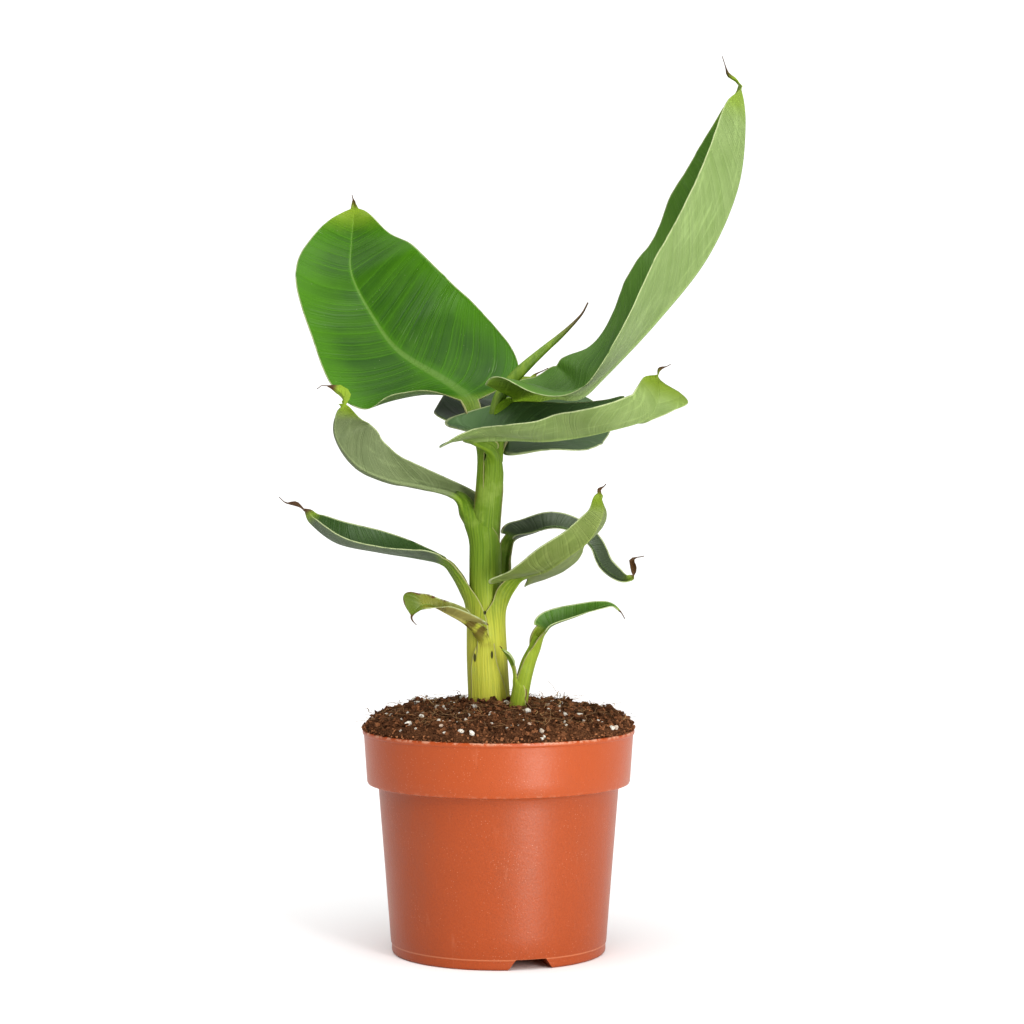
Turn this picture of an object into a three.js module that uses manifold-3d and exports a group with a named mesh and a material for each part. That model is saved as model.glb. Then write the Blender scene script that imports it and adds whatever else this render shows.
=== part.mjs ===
// A young banana plant with a sucker at its foot, in a plastic nursery pot with a deep collar.
// Millimetres, +Z up. The origin is the centre of the pot's flat underside; -Y is the plant's front.

import * as THREE from 'three';
import { mergeVertices } from 'three/addons/utils/BufferGeometryUtils.js';
import Module from 'manifold-3d';

const wasm = await Module();
wasm.setup();

const { degToRad, lerp, clamp } = THREE.MathUtils;
const GAP = 0.3; // clearance kept between two solids that touch on the plant

// ---------------------------------------------------------------- driving dimensions

const pot = {
  rimRadius: 85,
  height: 139.3,
  collarHeight: 33.7,
  collarFootRadius: 82.2,
  bodyTopRadius: 75.3,
  footRadius: 66.9,
  wall: 2.2,
  floor: 3,
  beadHeight: 3,
  beadDepth: 0.8,
  sides: 48,
};

const channel = {
  count: 3,
  firstAngle: -72.6,
  footWidth: 28,
  roofWidth: 19,
  height: 6.5,
  innerEnd: 26,
  roof: 2,
  holeRadius: 4.5,
  holeAt: 46,
};

const soil = {
  rimRise: 3.4,
  mound: 11,
  heap: 4.4,
  heapRadius: 18,
  lump: 1.1,
  overhang: 0.9,
  sides: 36,
};

const trunk = {
  foot: 156.6,
  top: 334,
  sides: 16,
  axis: [[-6, 0, 156.6], [-7.4, 0, 182], [-8, 0, 200], [-8.2, 0, 207], [-8.5, 0, 236], [-8.3, 0, 258], [-7.6, 0, 270], [-5.2, 0, 300], [-3.6, 0, 320], [-2.6, 0, 334]],
  radius: [11.3, 10.7, 10, 7.3, 7.1, 5.2, 6.6, 6.6, 5.2, 4.6],
};

const sucker = {
  foot: 152.4,
  axis: [[12.1, -22, 152.4], [14.2, -22, 166], [17, -22, 181], [21, -22, 191], [24, -22, 198.6]],
  radius: [3.5, 4.4, 3.6, 2.8, 2.4],
  sides: 12,
};

const spear = {
  axis: [[-2.2, 0, 334.4], [0.4, -2, 345], [6.2, -4, 354], [15, -6, 363.4], [28.8, -8, 376], [37, -9, 383], [45, -10, 390.4], [51.6, -11, 397.6], [55.4, -12, 404.6]],
  radius: [4.3, 4.2, 4.1, 3.9, 2.6, 1.9, 1.2, 0.7, 0.5],
  sides: 10,
};

const skin = { sheath: 1.6, petiole: 3.4, rib: 1.2, margin: 0.6, thread: 1.1 }; // thicknesses; margin is a share
const petiole = { halfWidth: 6.4, fold: 25, curl: 60 };

// Each leaf runs from its sheath, which clasps the stem, up a stalk into the blade and its thread-like tip.
// side is where the sheath sits round the stem in degrees, wrap how far it reaches each way, and clasp gives
// heights with the sheath's distance from the stem's axis; slant is how far its margins lag behind its middle.
// width holds half-widths along the blade, for the half left of the midrib seen from above with the tip ahead,
// then for the right one; fold and curl are each half's angles at the blade's base, middle and tip;
// facing is where the upper side looks there. lobe sets the margins back at the blade's base.
const leaves = [
  {
    name: 'leaf_1_oldest_front_left',
    colour: 0x8a9a4a,
    side: -93, wrap: 31, slant: 4, clasp: [[157.2, 12.5], [178, 12.3], [192, 12.2]],
    stalk: [[-13.5, -16, 200]],
    rib: [[-21, -19, 206], [-33.6, -20, 212], [-45, -24, 217.4], [-53, -26, 220.6], [-53.8, -22, 217]],
    thread: [[-51.5, -24, 209.5], [-49.5, -25, 205.5]],
    width: [[8, 9, 8, 6], [8, 9, 9, 8]], lobe: 3,
    fold: [[45, 40, 30], [45, 40, 30]],
    curl: [[30, 20, 10], [30, 20, 10]],
    facing: [[0, -0.1, 1], [0, -0.1, 1], [-0.95, -0.25, 0.2]],
  },
  {
    name: 'leaf_2_low_left',
    colour: 0x4f7f3a,
    side: 180, wrap: 54, slant: 10, clasp: [[157.2, 12.5], [184, 11.9], [206, 11.4]],
    stalk: [[-23, 0, 223], [-28.5, 2, 235.4]],
    rib: [[-35.5, 3, 242.6], [-52, 7, 246], [-75, 8, 249.4], [-101, 6, 255], [-118, 8, 267.4], [-122.6, 8, 276.3]],
    thread: [[-133.4, 8, 280.1], [-137.8, 8, 283.9]],
    width: [[14.5, 15, 15.5, 13], [11, 14, 15, 14]], lobe: 0,
    fold: [[21, 28, 44], [11, 35, 45]],
    curl: [[16, 26, 30], [13, 28, 30]],
    facing: [[0.36, -0.1, 0.93], [0.2, -0.43, 0.88], [0.6, -0.3, 0.75]],
  },
  {
    name: 'leaf_3_low_right_front',
    colour: 0x8fae66,
    side: -15, wrap: 43, slant: 8, clasp: [[157.2, 12.5], [184, 11.9], [203, 11.4]],
    stalk: [[4.8, -6, 217], [9, -12, 227.6]],
    rib: [[15, -16.6, 234.7], [29, -26.4, 239.1], [41, -38.5, 247.4], [55.4, -46.4, 259], [63, -54.6, 275.3], [61.3, -51.2, 287.2]],
    thread: [[65.1, -54, 292.9]],
    width: [[22.5, 23.5, 19, 13], [22.5, 22.5, 16, 11]], lobe: 24,
    fold: [[-8, 16, 28], [-7, 23, 34]],
    curl: [[0, 6, 9], [2, 9, 11]],
    facing: [[-0.2, 0.24, 0.95], [-0.3, 0.25, 0.92], [-0.7, 0.7, 0.12]],
  },
  {
    name: 'leaf_4_low_right_back',
    colour: 0x4c7350,
    side: 74, wrap: 43, slant: 8, clasp: [[157.2, 12.5], [190, 11.8], [218, 11.3]],
    stalk: [[3.8, 13.6, 234], [5.6, 16.6, 246.6]],
    rib: [[9.6, 21, 256.6], [21.5, 25, 261], [34.6, 28, 264.6], [48.3, 33, 261], [58.6, 35, 252.4], [66.6, 37, 238.2], [78.6, 40, 230.6], [86, 40, 233.1]],
    thread: [[85.2, 41, 242.9], [92.9, 41, 245.4]],
    width: [[11.5, 9.6, 8.2, 9.6], [11.5, 11, 10.2, 8.2]], lobe: 11,
    fold: [[28, 35, 50], [32, 26, 41]],
    curl: [[19, 19, 20], [21, 16, 17]],
    facing: [[-0.2, -0.5, 0.84], [0.45, -0.62, 0.65], [0.2, -0.9, 0.4]],
  },
  {
    name: 'leaf_5_middle_left',
    colour: 0x93a877,
    side: 200, wrap: 140, slant: 8, clasp: [[208, 8.8], [228, 8.7], [246, 8.6], [262, 9.4]],
    stalk: [[-21.6, -1, 273.6]],
    rib: [[-27.7, 1, 284.4], [-48.6, -7.6, 288.1], [-67, -18.5, 290.6], [-88, -22, 300], [-100.5, -20, 318.6], [-99.6, -25.8, 334.5], [-96.1, -30.6, 342.1]],
    thread: [[-102.9, -24, 350.8], [-110.9, -24, 351.5]],
    width: [[17, 25, 27, 30], [19, 24, 26, 27]], lobe: 32,
    fold: [[72, 48, 47], [60, 60, 55]],
    curl: [[10, 0, 1], [10, 10, 10]],
    facing: [[-0.26, 0.95, 0.17], [0.13, 0.86, 0.5], [0.47, 0.88, 0.05]],
  },
  {
    name: 'leaf_6_back',
    colour: 0x3f6b45,
    side: 62, wrap: 46, slant: 8, clasp: [[262, 8.7], [280, 8.6], [298, 8.6]],
    stalk: [[0.2, 13, 311]],
    rib: [[1.4, 30, 322.1], [6.6, 41, 328.4], [17, 74.5, 339.8], [21, 110, 350], [22.6, 132, 362]],
    thread: [[32.7, 138, 368.6]],
    width: [[42, 52.5, 58, 56], [42.5, 53, 58, 55]], lobe: 32,
    fold: [[15, -3, -4], [7, -18, -9]],
    curl: [[12, 5, 5], [-8, -7, 8]],
    facing: [[0.03, -0.35, 0.94], [0.08, -0.36, 0.93], [-0.05, -0.57, 0.82]],
  },
  {
    name: 'leaf_7_front',
    colour: 0x4a7a52,
    side: -72, wrap: 52, slant: 8, clasp: [[244, 6.7], [258, 6.7], [270, 8.1], [300, 8.2]],
    stalk: [[0, -16, 313]],
    rib: [[-4.8, -33, 320.3], [10, -41, 320.5], [27.3, -60.3, 319.3], [47.3, -71.5, 321.2], [66, -87, 325.1], [88, -86.6, 332], [94.6, -87, 344.1], [95, -81.4, 358.7]],
    thread: [[102.2, -86, 364.2]],
    width: [[37, 36, 27, 31], [38.5, 34.5, 29.5, 31]], lobe: 45,
    fold: [[22, 37, 38], [6, 18, 49]],
    curl: [[5, 17, 17], [0, 5, 21]],
    facing: [[-0.24, 0, 0.97], [0.1, -0.05, 0.99], [-0.93, -0.04, 0.38]],
  },
  {
    name: 'leaf_8_tall_left',
    colour: 0x3e7c2b,
    side: 170, wrap: 58, slant: 8, clasp: [[270, 8.4], [292, 8.1], [310, 8.6]],
    stalk: [[-16, 11, 327]],
    rib: [[-17.6, 24, 348], [-32.4, 43.6, 356.4], [-64.8, 62.6, 377.2], [-82.6, 67, 400.9], [-95.6, 69, 427], [-97.2, 92, 449.5], [-95.6, 98.2, 472.4]],
    thread: [[-97.3, 100, 481.6]],
    width: [[46.5, 54.5, 39, 40], [53, 58, 48.5, 37]], lobe: -10,
    fold: [[-3, 5, 14], [4, 10, 13]],
    curl: [[5, 10, 3], [-3, 2, 3]],
    facing: [[0.26, -0.65, 0.71], [0.07, -0.95, 0.3], [-0.2, -0.9, 0.4]],
  },
  {
    name: 'leaf_9_tall_right',
    colour: 0x7fae5a,
    side: -20, wrap: 40, slant: 4, clasp: [[306, 6.8], [318, 6.4], [330, 6.2]],
    stalk: [[5, -3, 339.5]],
    rib: [[13, 9, 342.7], [33, -8.5, 347], [49.7, -13, 346.4], [65.4, -15, 359.8], [96.5, -24.5, 392.2], [127.4, -23.5, 430.8], [146.3, -24, 473], [151.4, -21, 512.6], [148.4, -16, 538.3]],
    thread: [[141.1, -20, 545.5], [137.4, -20, 555.3]],
    width: [[51, 52, 52, 44], [48.5, 50, 46.5, 46.5]], lobe: 17,
    fold: [[39, 10, 45, 44, 39], [20, 16, 25, 35, 41]],
    curl: [[8, -4, 7, 8, 8], [6, 1, 0, 4, 8]],
    facing: [[0.1, 0, 1], [-0.33, -0.28, 0.9], [-0.69, 0.13, 0.71], [-1, 0, 0.1], [-0.9, -0.17, -0.41]],
  },
];

// The sucker's own leaves clasp the sucker in the same way.
const suckerLeaves = [
  {
    name: 'sucker_leaf',
    colour: 0x4f9430,
    side: 0, wrap: 60, slant: 2, clasp: [[182, 4.8], [189, 4.2]],
    stalk: [[26, -23, 197]],
    rib: [[29, -24.6, 201.8], [34, -22.4, 206], [47.5, -20, 210.6], [62.8, -19.6, 216.2], [69.6, -18.6, 217.2], [75, -19, 213.8]],
    thread: [[78.2, -19, 209]],
    width: [[10, 8.5, 5.5, 2.4], [10, 9, 7, 4]], lobe: 5,
    fold: [[41, 39, 16], [35, 31, 19]],
    curl: [[20, 10, 0], [18, 7, 0]],
    facing: [[-0.56, -0.66, 0.5], [-0.31, -0.53, 0.79], [0.6, -0.3, 0.72]],
  },
  {
    name: 'sucker_scale_leaf',
    colour: 0x5a8f2c,
    side: 200, wrap: 70, slant: 1, clasp: [[160, 5.4], [169, 5.4]],
    stalk: [[9.4, -24, 176.6]],
    rib: [[8.2, -25, 180.6], [5.4, -27, 186.4], [2.4, -28, 191]],
    thread: [[0.8, -28.5, 193]],
    width: [[3.4, 3.4, 3, 2], [3.4, 3.4, 3, 2]], lobe: 0,
    fold: [[40, 40, 20], [40, 40, 20]],
    curl: [[20, 20, 0], [20, 20, 0]],
    facing: [[1, -0.2, 0.6], [0.8, -0.2, 1], [0.6, -0.2, 1]],
  },
];

const columns = [-1, -0.66, -0.3, 0, 0.3, 0.66, 1]; // across a leaf, margin to margin
const stations = { sheath: 3, stalk: 5, blade: 14, thread: 2 };

// ---------------------------------------------------------------- helpers

const vec = (p) => new THREE.Vector3(...p);
const smooth = (x) => THREE.MathUtils.smoothstep(x, 0, 1);

// The value at q, from 0 to 1, of a smooth line through evenly spaced values.
function through(values, q) {
  const last = values.length - 1;
  const at = clamp(q, 0, 1) * last;
  const i = Math.min(Math.floor(at), last - 1);
  const t = at - i;
  const before = values[Math.max(i - 1, 0)];
  const after = values[Math.min(i + 2, last)];
  const [a, b] = [values[i], values[i + 1]];
  const [m0, m1] = [(b - before) / 2, (after - a) / 2];
  return (2 * t ** 3 - 3 * t ** 2 + 1) * a + (t ** 3 - 2 * t ** 2 + t) * m0
    + (-2 * t ** 3 + 3 * t ** 2) * b + (t ** 3 - t ** 2) * m1;
}

const throughVectors = (vectors, q) =>
  new THREE.Vector3(...[0, 1, 2].map((k) => through(vectors.map((v) => v[k]), q)));

// A closed mesh as a manifold-3d solid, with its faces turned to point out.
function solid(geometry) {
  const bare = geometry.index ? geometry.toNonIndexed() : geometry.clone();
  bare.deleteAttribute('normal');
  bare.deleteAttribute('uv');
  const merged = mergeVertices(bare, 1e-3);
  const make = (triVerts) => new wasm.Manifold(
    new wasm.Mesh({ numProp: 3, vertProperties: merged.attributes.position.array, triVerts }));
  const triangles = new Uint32Array(merged.index.array);
  const made = make(triangles);
  if (made.volume() > 0) return made;
  for (let i = 0; i < triangles.length; i += 3)
    [triangles[i + 1], triangles[i + 2]] = [triangles[i + 2], triangles[i + 1]];
  return make(triangles);
}

function geometryOf(body) {
  const mesh = body.getMesh();
  const position = new Float32Array(mesh.numVert * 3);
  for (let i = 0; i < mesh.numVert; i++)
    position.set(mesh.vertProperties.subarray(i * mesh.numProp, i * mesh.numProp + 3), i * 3);
  return new THREE.BufferGeometry()
    .setAttribute('position', new THREE.BufferAttribute(position, 3))
    .setIndex(new THREE.BufferAttribute(new Uint32Array(mesh.triVerts), 1));
}

const largest = (body) => body.decompose().sort((a, b) => b.volume() - a.volume())[0];

// A body without the slivers that cutting can leave on it.
function cleaned(body) {
  let kept = body;
  for (let tries = 0; tries < 6; tries++) {
    kept = largest(solid(geometryOf(kept.simplify(0.03))));
    if (solid(geometryOf(kept)).decompose().length === 1) break;
  }
  return kept;
}

// Joins rings of equally many points into a closed skin. Each end is zipped shut across the ring.
function loft(rings) {
  const count = rings[0].length;
  const index = [];
  for (let r = 0; r + 1 < rings.length; r++)
    for (let i = 0; i < count; i++) {
      const [a, b] = [r * count + i, r * count + (i + 1) % count];
      index.push(a, b, b + count, a, b + count, a + count);
    }
  const end = (rings.length - 1) * count;
  for (let i = 0; i + 1 < count / 2; i++) {
    const j = count - 1 - i;
    index.push(i, j, j - 1, i, j - 1, i + 1);
    index.push(end + i, end + j - 1, end + j, end + i, end + i + 1, end + j - 1);
  }
  const position = new Float32Array(rings.flat().flatMap((p) => p.toArray()));
  return new THREE.BufferGeometry().setAttribute('position', new THREE.BufferAttribute(position, 3)).setIndex(index);
}

function circle(centre, along, radius, sides) {
  const side = new THREE.Vector3(0, 1, 0).cross(along).normalize();
  const front = along.clone().cross(side).normalize();
  return Array.from({ length: sides }, (_, i) => {
    const angle = (2 * Math.PI * i) / sides;
    return centre.clone().addScaledVector(side, radius * Math.cos(angle)).addScaledVector(front, radius * Math.sin(angle));
  });
}

// The cross-sections of a tapering limb along its axis. The first one is level: its flat foot.
function limb({ axis, radius, sides }, grow = 0) {
  const curve = new THREE.CatmullRomCurve3(axis.map(vec), false, 'catmullrom', 0.5);
  const last = axis.length - 1;
  return axis.map((p, i) => {
    const along = i === 0 ? new THREE.Vector3(0, 0, 1) : curve.getTangent(i / last);
    const centre = vec(p).addScaledVector(along, grow * (i === last ? 1 : i === 0 ? -1 : 0));
    return circle(centre, along, radius[i] + grow, sides);
  });
}

// Where a limb's axis is at a height.
function axisAt({ axis }, height) {
  const i = clamp(axis.findIndex((p) => p[2] > height) - 1, 0, axis.length - 2);
  return vec(axis[i]).lerp(vec(axis[i + 1]), (height - axis[i][2]) / (axis[i + 1][2] - axis[i][2]));
}

// ---------------------------------------------------------------- leaves

// How far a blade has opened out at q from its base: it is rounded where it leaves the stalk.
const opened = (q) => Math.sqrt(1 - (1 - clamp(q / 0.16, 0, 1)) ** 2);

// The half-width of a blade at q from its base to its tip.
function bladeWidth(widths, stalkWidth, q) {
  const rise = opened(q);
  const fall = (1 - clamp((q - 0.6) / 0.4, 0, 1) ** 2.2) ** 0.7;
  return (stalkWidth + (through(widths, q) - stalkWidth) * rise) * fall + (skin.thread / 2) * (1 - fall);
}

// A leaf's cross-sections, from its sheath along its stalk and blade to the end of its thread.
function leafRings(leaf, host, grow = 0) {
  const outward = new THREE.Vector3(Math.cos(degToRad(leaf.side)), Math.sin(degToRad(leaf.side)), 0);
  const clasp = leaf.clasp.map(([height, radius]) => axisAt(host, height).addScaledVector(outward, radius));
  const claspRadius = leaf.clasp[1][1];
  const points = [...clasp, ...leaf.stalk.map(vec), ...leaf.rib.map(vec), ...leaf.thread.map(vec)];
  const curve = new THREE.CatmullRomCurve3(points, false, 'catmullrom', 0.5);
  const steps = 40;
  curve.arcLengthDivisions = steps * (points.length - 1);
  const lengths = curve.getLengths();
  const reach = (i) => lengths[steps * i] / lengths[lengths.length - 1];

  const sheathEnd = reach(clasp.length - 1);
  const bladeStart = reach(clasp.length + leaf.stalk.length);
  const bladeEnd = reach(points.length - 1 - leaf.thread.length);
  const middle = (sheathEnd + bladeStart) / 2;
  const thickness = Math.max(skin.sheath, lengths[lengths.length - 1] / 100);

  const spots = [];
  const spread = (from, to, count) => {
    for (let i = 0; i < count; i++) spots.push(lerp(from, to, i / count));
  };
  spread(0, sheathEnd, stations.sheath);
  spread(sheathEnd, bladeStart, stations.stalk);
  spread(bladeStart, bladeEnd, stations.blade);
  spread(bladeEnd, 1, stations.thread);
  spots.push(1);

  return spots.map((u) => {
    const along = curve.getTangentAt(u);
    const centre = curve.getPointAt(u).addScaledVector(along, grow * (u === 1 ? 1 : u === 0 ? -1 : 0));
    const q = (u - bladeStart) / (bladeEnd - bladeStart);
    const toStalk = smooth((u - sheathEnd * 0.7) / (middle - sheathEnd * 0.7));
    const toBlade = smooth((u - middle) / (bladeStart + 0.06 * (bladeEnd - bladeStart) - middle));
    const toThread = smooth((q - 0.96) / 0.04);

    const inward = outward.clone().negate();
    const hint = inward.lerp(throughVectors(leaf.facing, q).normalize(), smooth((u - sheathEnd) / (bladeStart - sheathEnd)));
    const upper = hint.addScaledVector(along, -hint.dot(along)).normalize();
    const right = along.clone().cross(upper);

    const stem = clamp(toStalk, 0, 1);
    const halfWidth = (side) => {
      const claspWidth = claspRadius * degToRad(leaf.wrap);
      const stalkWidth = Math.min(petiole.halfWidth, Math.max(...leaf.width[side]) * 0.7);
      const narrow = lerp(claspWidth, stalkWidth, stem);
      if (q <= 0) return narrow;
      if (q >= 1) return skin.thread / 2;
      return bladeWidth(leaf.width[side], stalkWidth, q);
    };
    const angle = (kind, atSheath, side) => degToRad(
      lerp(lerp(atSheath, petiole[kind], stem), through(leaf[kind][side], q), toBlade) * (1 - toThread));
    const sweep = -leaf.lobe * (1 - smooth(q / 0.4)) * opened(q) - leaf.slant * stem * (1 - toBlade);
    const stalkThickness = Math.min(skin.petiole, halfWidth(0) * 0.6);
    const midThickness = lerp(lerp(lerp(skin.sheath, stalkThickness, stem), thickness, toBlade), skin.thread, toThread);
    const ribDepth = toBlade * (1 - toThread) * skin.rib * (1 - clamp(q, 0, 1) * 0.8);

    const upperLine = [];
    const lowerLine = [];
    for (const t of columns) {
      const side = t < 0 ? 0 : 1;
      const sign = t < 0 ? -1 : 1;
      const a = Math.abs(t);
      const w = halfWidth(side) + grow;
      const fold = angle('fold', 0, side);
      const curl = angle('curl', leaf.wrap, side);
      const bend = Math.abs(curl) < 1e-3 ? 1e-3 : curl;
      const x = (w * (Math.sin(fold + bend * a) - Math.sin(fold))) / bend;
      const rise = (w * (Math.cos(fold) - Math.cos(fold + bend * a))) / bend;
      const tilt = a === 0 ? 0 : fold + curl * a;
      const point = centre.clone().addScaledVector(right, sign * x).addScaledVector(upper, rise).addScaledVector(along, sweep * a * a);
      const normal = upper.clone().multiplyScalar(Math.cos(tilt)).addScaledVector(right, -sign * Math.sin(tilt));
      const half = (midThickness / 2) * lerp(1, skin.margin, a) + grow;
      upperLine.push(point.clone().addScaledVector(normal, half));
      lowerLine.push(point.clone().addScaledVector(normal, -half - (a === 0 ? ribDepth : 0)));
    }
    return [...upperLine, ...lowerLine.reverse()];
  });
}

// ---------------------------------------------------------------- pot and soil

const upright = (profile, sides) =>
  new THREE.LatheGeometry(profile.map((p) => new THREE.Vector2(...p)), sides).rotateX(Math.PI / 2);

function potInside(clearance) {
  const ledge = pot.height - pot.collarHeight;
  return [
    [pot.footRadius - pot.wall - clearance, pot.floor + clearance],
    [pot.bodyTopRadius - pot.wall - clearance, ledge + clearance],
    [pot.collarFootRadius - pot.wall - clearance, ledge + pot.wall + clearance],
    [pot.rimRadius - pot.wall - clearance, pot.height],
  ];
}

// A bar of tapered section lying along X, its foot on the ground: the shape of a drainage channel.
function channelBar(grow, from, to) {
  const [foot, roof, height] = [channel.footWidth / 2 + grow, channel.roofWidth / 2 + grow, channel.height + grow];
  const section = new THREE.Shape([[-foot, -1], [foot, -1], [foot, 0], [roof, height], [-roof, height], [-foot, 0]].map((p) => new THREE.Vector2(...p)));
  return new THREE.ExtrudeGeometry(section, { depth: to - from, bevelEnabled: false })
    .rotateX(Math.PI / 2)
    .rotateZ(Math.PI / 2)
    .translate(from, 0, 0);
}

function eachChannel(geometry) {
  return Array.from({ length: channel.count }, (_, i) =>
    solid(geometry.clone().rotateZ(degToRad(channel.firstAngle + (360 * i) / channel.count))));
}

function buildPot() {
  const ledge = pot.height - pot.collarHeight;
  const beadFoot = pot.height - pot.beadHeight;
  const profile = [
    [0, 0],
    [pot.footRadius - 1.5, 0],
    [pot.footRadius, 1.5],
    [pot.bodyTopRadius, ledge - 1.4],
    [pot.collarFootRadius - 1.2, ledge],
    [pot.collarFootRadius, ledge + 1.6],
    [pot.rimRadius - pot.beadDepth, beadFoot],
    [pot.rimRadius, beadFoot + 0.8],
    [pot.rimRadius, pot.height - 0.6],
    [pot.rimRadius - 0.8, pot.height],
    ...potInside(0).reverse(),
    [0, pot.floor],
  ];
  const hollow = solid(upright([[0, pot.floor - 1], [pot.footRadius - pot.wall / 2, pot.floor - 1], [pot.footRadius, 40], [0, 40]], pot.sides));
  let body = solid(upright(profile, pot.sides));
  for (const tunnel of eachChannel(channelBar(channel.roof, channel.innerEnd - channel.roof, pot.footRadius + 5)))
    body = body.add(tunnel.intersect(hollow));
  for (const cut of eachChannel(channelBar(0, channel.innerEnd, pot.rimRadius))) body = body.subtract(cut);
  const drill = new THREE.CylinderGeometry(channel.holeRadius, channel.holeRadius, 20, 16).rotateX(Math.PI / 2).translate(channel.holeAt, 0, 0);
  for (const hole of eachChannel(drill)) body = body.subtract(hole);
  return body;
}

// The height of the soil's surface at a distance and angle from the pot's axis. It is heaped round the stem.
function soilHeight(r, angle) {
  const share = r / pot.rimRadius;
  const [x, y] = trunk.axis[0];
  const toStem = Math.hypot(r * Math.cos(angle) - x, r * Math.sin(angle) - y) / soil.heapRadius;
  const dome = pot.height + soil.rimRise + soil.mound * (1 - share ** 2) ** 0.8;
  return dome + soil.heap * Math.exp(-(toStem ** 2)) + soil.lump * (Math.sin(3 * angle + 9 * share) + Math.sin(5 * angle - 14 * share)) * share * 0.8;
}

function buildSoil() {
  const rim = pot.rimRadius - soil.overhang;
  const inside = potInside(GAP);
  const ring = (r, height) => Array.from({ length: soil.sides }, (_, i) => {
    const angle = (2 * Math.PI * i) / soil.sides;
    const z = typeof height === 'number' ? height : height(r, angle);
    return new THREE.Vector3(r * Math.cos(angle), r * Math.sin(angle), z);
  });
  const facet = Math.cos(Math.PI / pot.sides); // the pot's flats come nearer the axis than its corners
  const rings = inside.map(([r, z]) => ring(r * facet, z));
  rings.push(ring(inside[3][0] * facet, pot.height + GAP), ring(rim, pot.height + GAP), ring(rim, pot.height + GAP + 2));
  for (const share of [0.96, 0.84, 0.66, 0.46, 0.26, 0.1]) rings.push(ring(pot.rimRadius * share, soilHeight));
  let body = solid(loft(rings));
  for (const tunnel of eachChannel(channelBar(channel.roof + GAP, channel.innerEnd - channel.roof - GAP, pot.rimRadius)))
    body = body.subtract(tunnel);
  for (const [plant, room] of [[trunk, 3.6], [sucker, GAP]]) {
    const [x, y, z] = plant.axis[0];
    const radius = plant.radius[0] + room;
    const socket = new THREE.CylinderGeometry(radius + 6, radius, 12, 24).rotateX(Math.PI / 2).translate(x, y, z - GAP + 6);
    body = body.subtract(solid(socket));
  }
  return body;
}

// ---------------------------------------------------------------- assembly

const plant = new THREE.Group();

function place(name, body, colour, roughness) {
  const material = new THREE.MeshStandardMaterial({ color: colour, roughness, metalness: 0 });
  const mesh = new THREE.Mesh(geometryOf(body), material);
  mesh.name = name;
  plant.add(mesh);
}

place('pot', buildPot(), 0xc8603a, 0.5);
place('soil', buildSoil(), 0x4a3226, 0.95);

// The space inside a row of rings. It is joined from short lengths, as a tight bend can fold over itself.
const inLengths = (rings) => wasm.Manifold.union(rings.slice(1).map((ring, i) => solid(loft([rings[i], ring]))));

// Each piece is cut clear of those placed before it, so that touching leaves keep a gap.
// rings gives the piece's cross-sections, grown all round by what it is given.
const placed = [];
function placeClear(name, rings, colour) {
  let body = solid(loft(rings(0)));
  for (const other of placed)
    if (body.intersect(other).volume() > 0) body = body.subtract(other);
  body = cleaned(body);
  place(name, body, colour, 0.5);
  placed.push(inLengths(rings(3 * GAP)).add(body));
}

placeClear('pseudostem', (grow) => limb(trunk, grow), 0x9db24a);
placeClear('spear_leaf', (grow) => limb(spear, grow), 0x86b043);
placeClear('sucker_stem', (grow) => limb(sucker, grow), 0xa4c23c);
for (const leaf of leaves) placeClear(leaf.name, (grow) => leafRings(leaf, trunk, grow), leaf.colour);
for (const leaf of suckerLeaves) placeClear(leaf.name, (grow) => leafRings(leaf, sucker, grow), leaf.colour);

export default plant;
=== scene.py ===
"""A young banana plant with a side shoot in a plastic nursery pot, dressed round its frame of solids."""

import math
import random

import bmesh
import bpy
import numpy as np
from bpy.props import FloatProperty, FloatVectorProperty, IntProperty, PointerProperty
from mathutils import Matrix, Vector, noise


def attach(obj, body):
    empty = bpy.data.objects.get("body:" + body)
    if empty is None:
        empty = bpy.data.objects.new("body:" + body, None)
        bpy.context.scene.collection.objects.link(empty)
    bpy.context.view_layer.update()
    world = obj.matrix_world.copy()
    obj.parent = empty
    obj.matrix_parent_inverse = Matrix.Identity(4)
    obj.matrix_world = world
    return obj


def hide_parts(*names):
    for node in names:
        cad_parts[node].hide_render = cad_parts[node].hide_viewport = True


bl_info = {
    "name": "Potted Banana Plant",
    "version": (1, 0, 0),
    "blender": (4, 5, 0),
    "location": "3D View > Sidebar > Banana",
    "description": "Builds a young banana plant in a nursery pot, piece by piece",
    "category": "Add Mesh",
}

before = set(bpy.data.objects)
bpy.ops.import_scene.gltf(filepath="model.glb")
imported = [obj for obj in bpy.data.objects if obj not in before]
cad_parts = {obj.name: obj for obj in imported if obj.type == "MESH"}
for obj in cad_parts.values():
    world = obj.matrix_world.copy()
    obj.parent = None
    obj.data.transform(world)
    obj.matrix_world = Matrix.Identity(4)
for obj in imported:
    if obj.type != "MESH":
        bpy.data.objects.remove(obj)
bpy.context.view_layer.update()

MM = 0.001
TAU = 2 * math.pi
CURVE_STEPS = 40  # between two points of a line
SKIN = 0.01  # parts the two sides of a flat sheet until it is laid out


# ---------------------------------------------------------------- sizes, in millimetres

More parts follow.
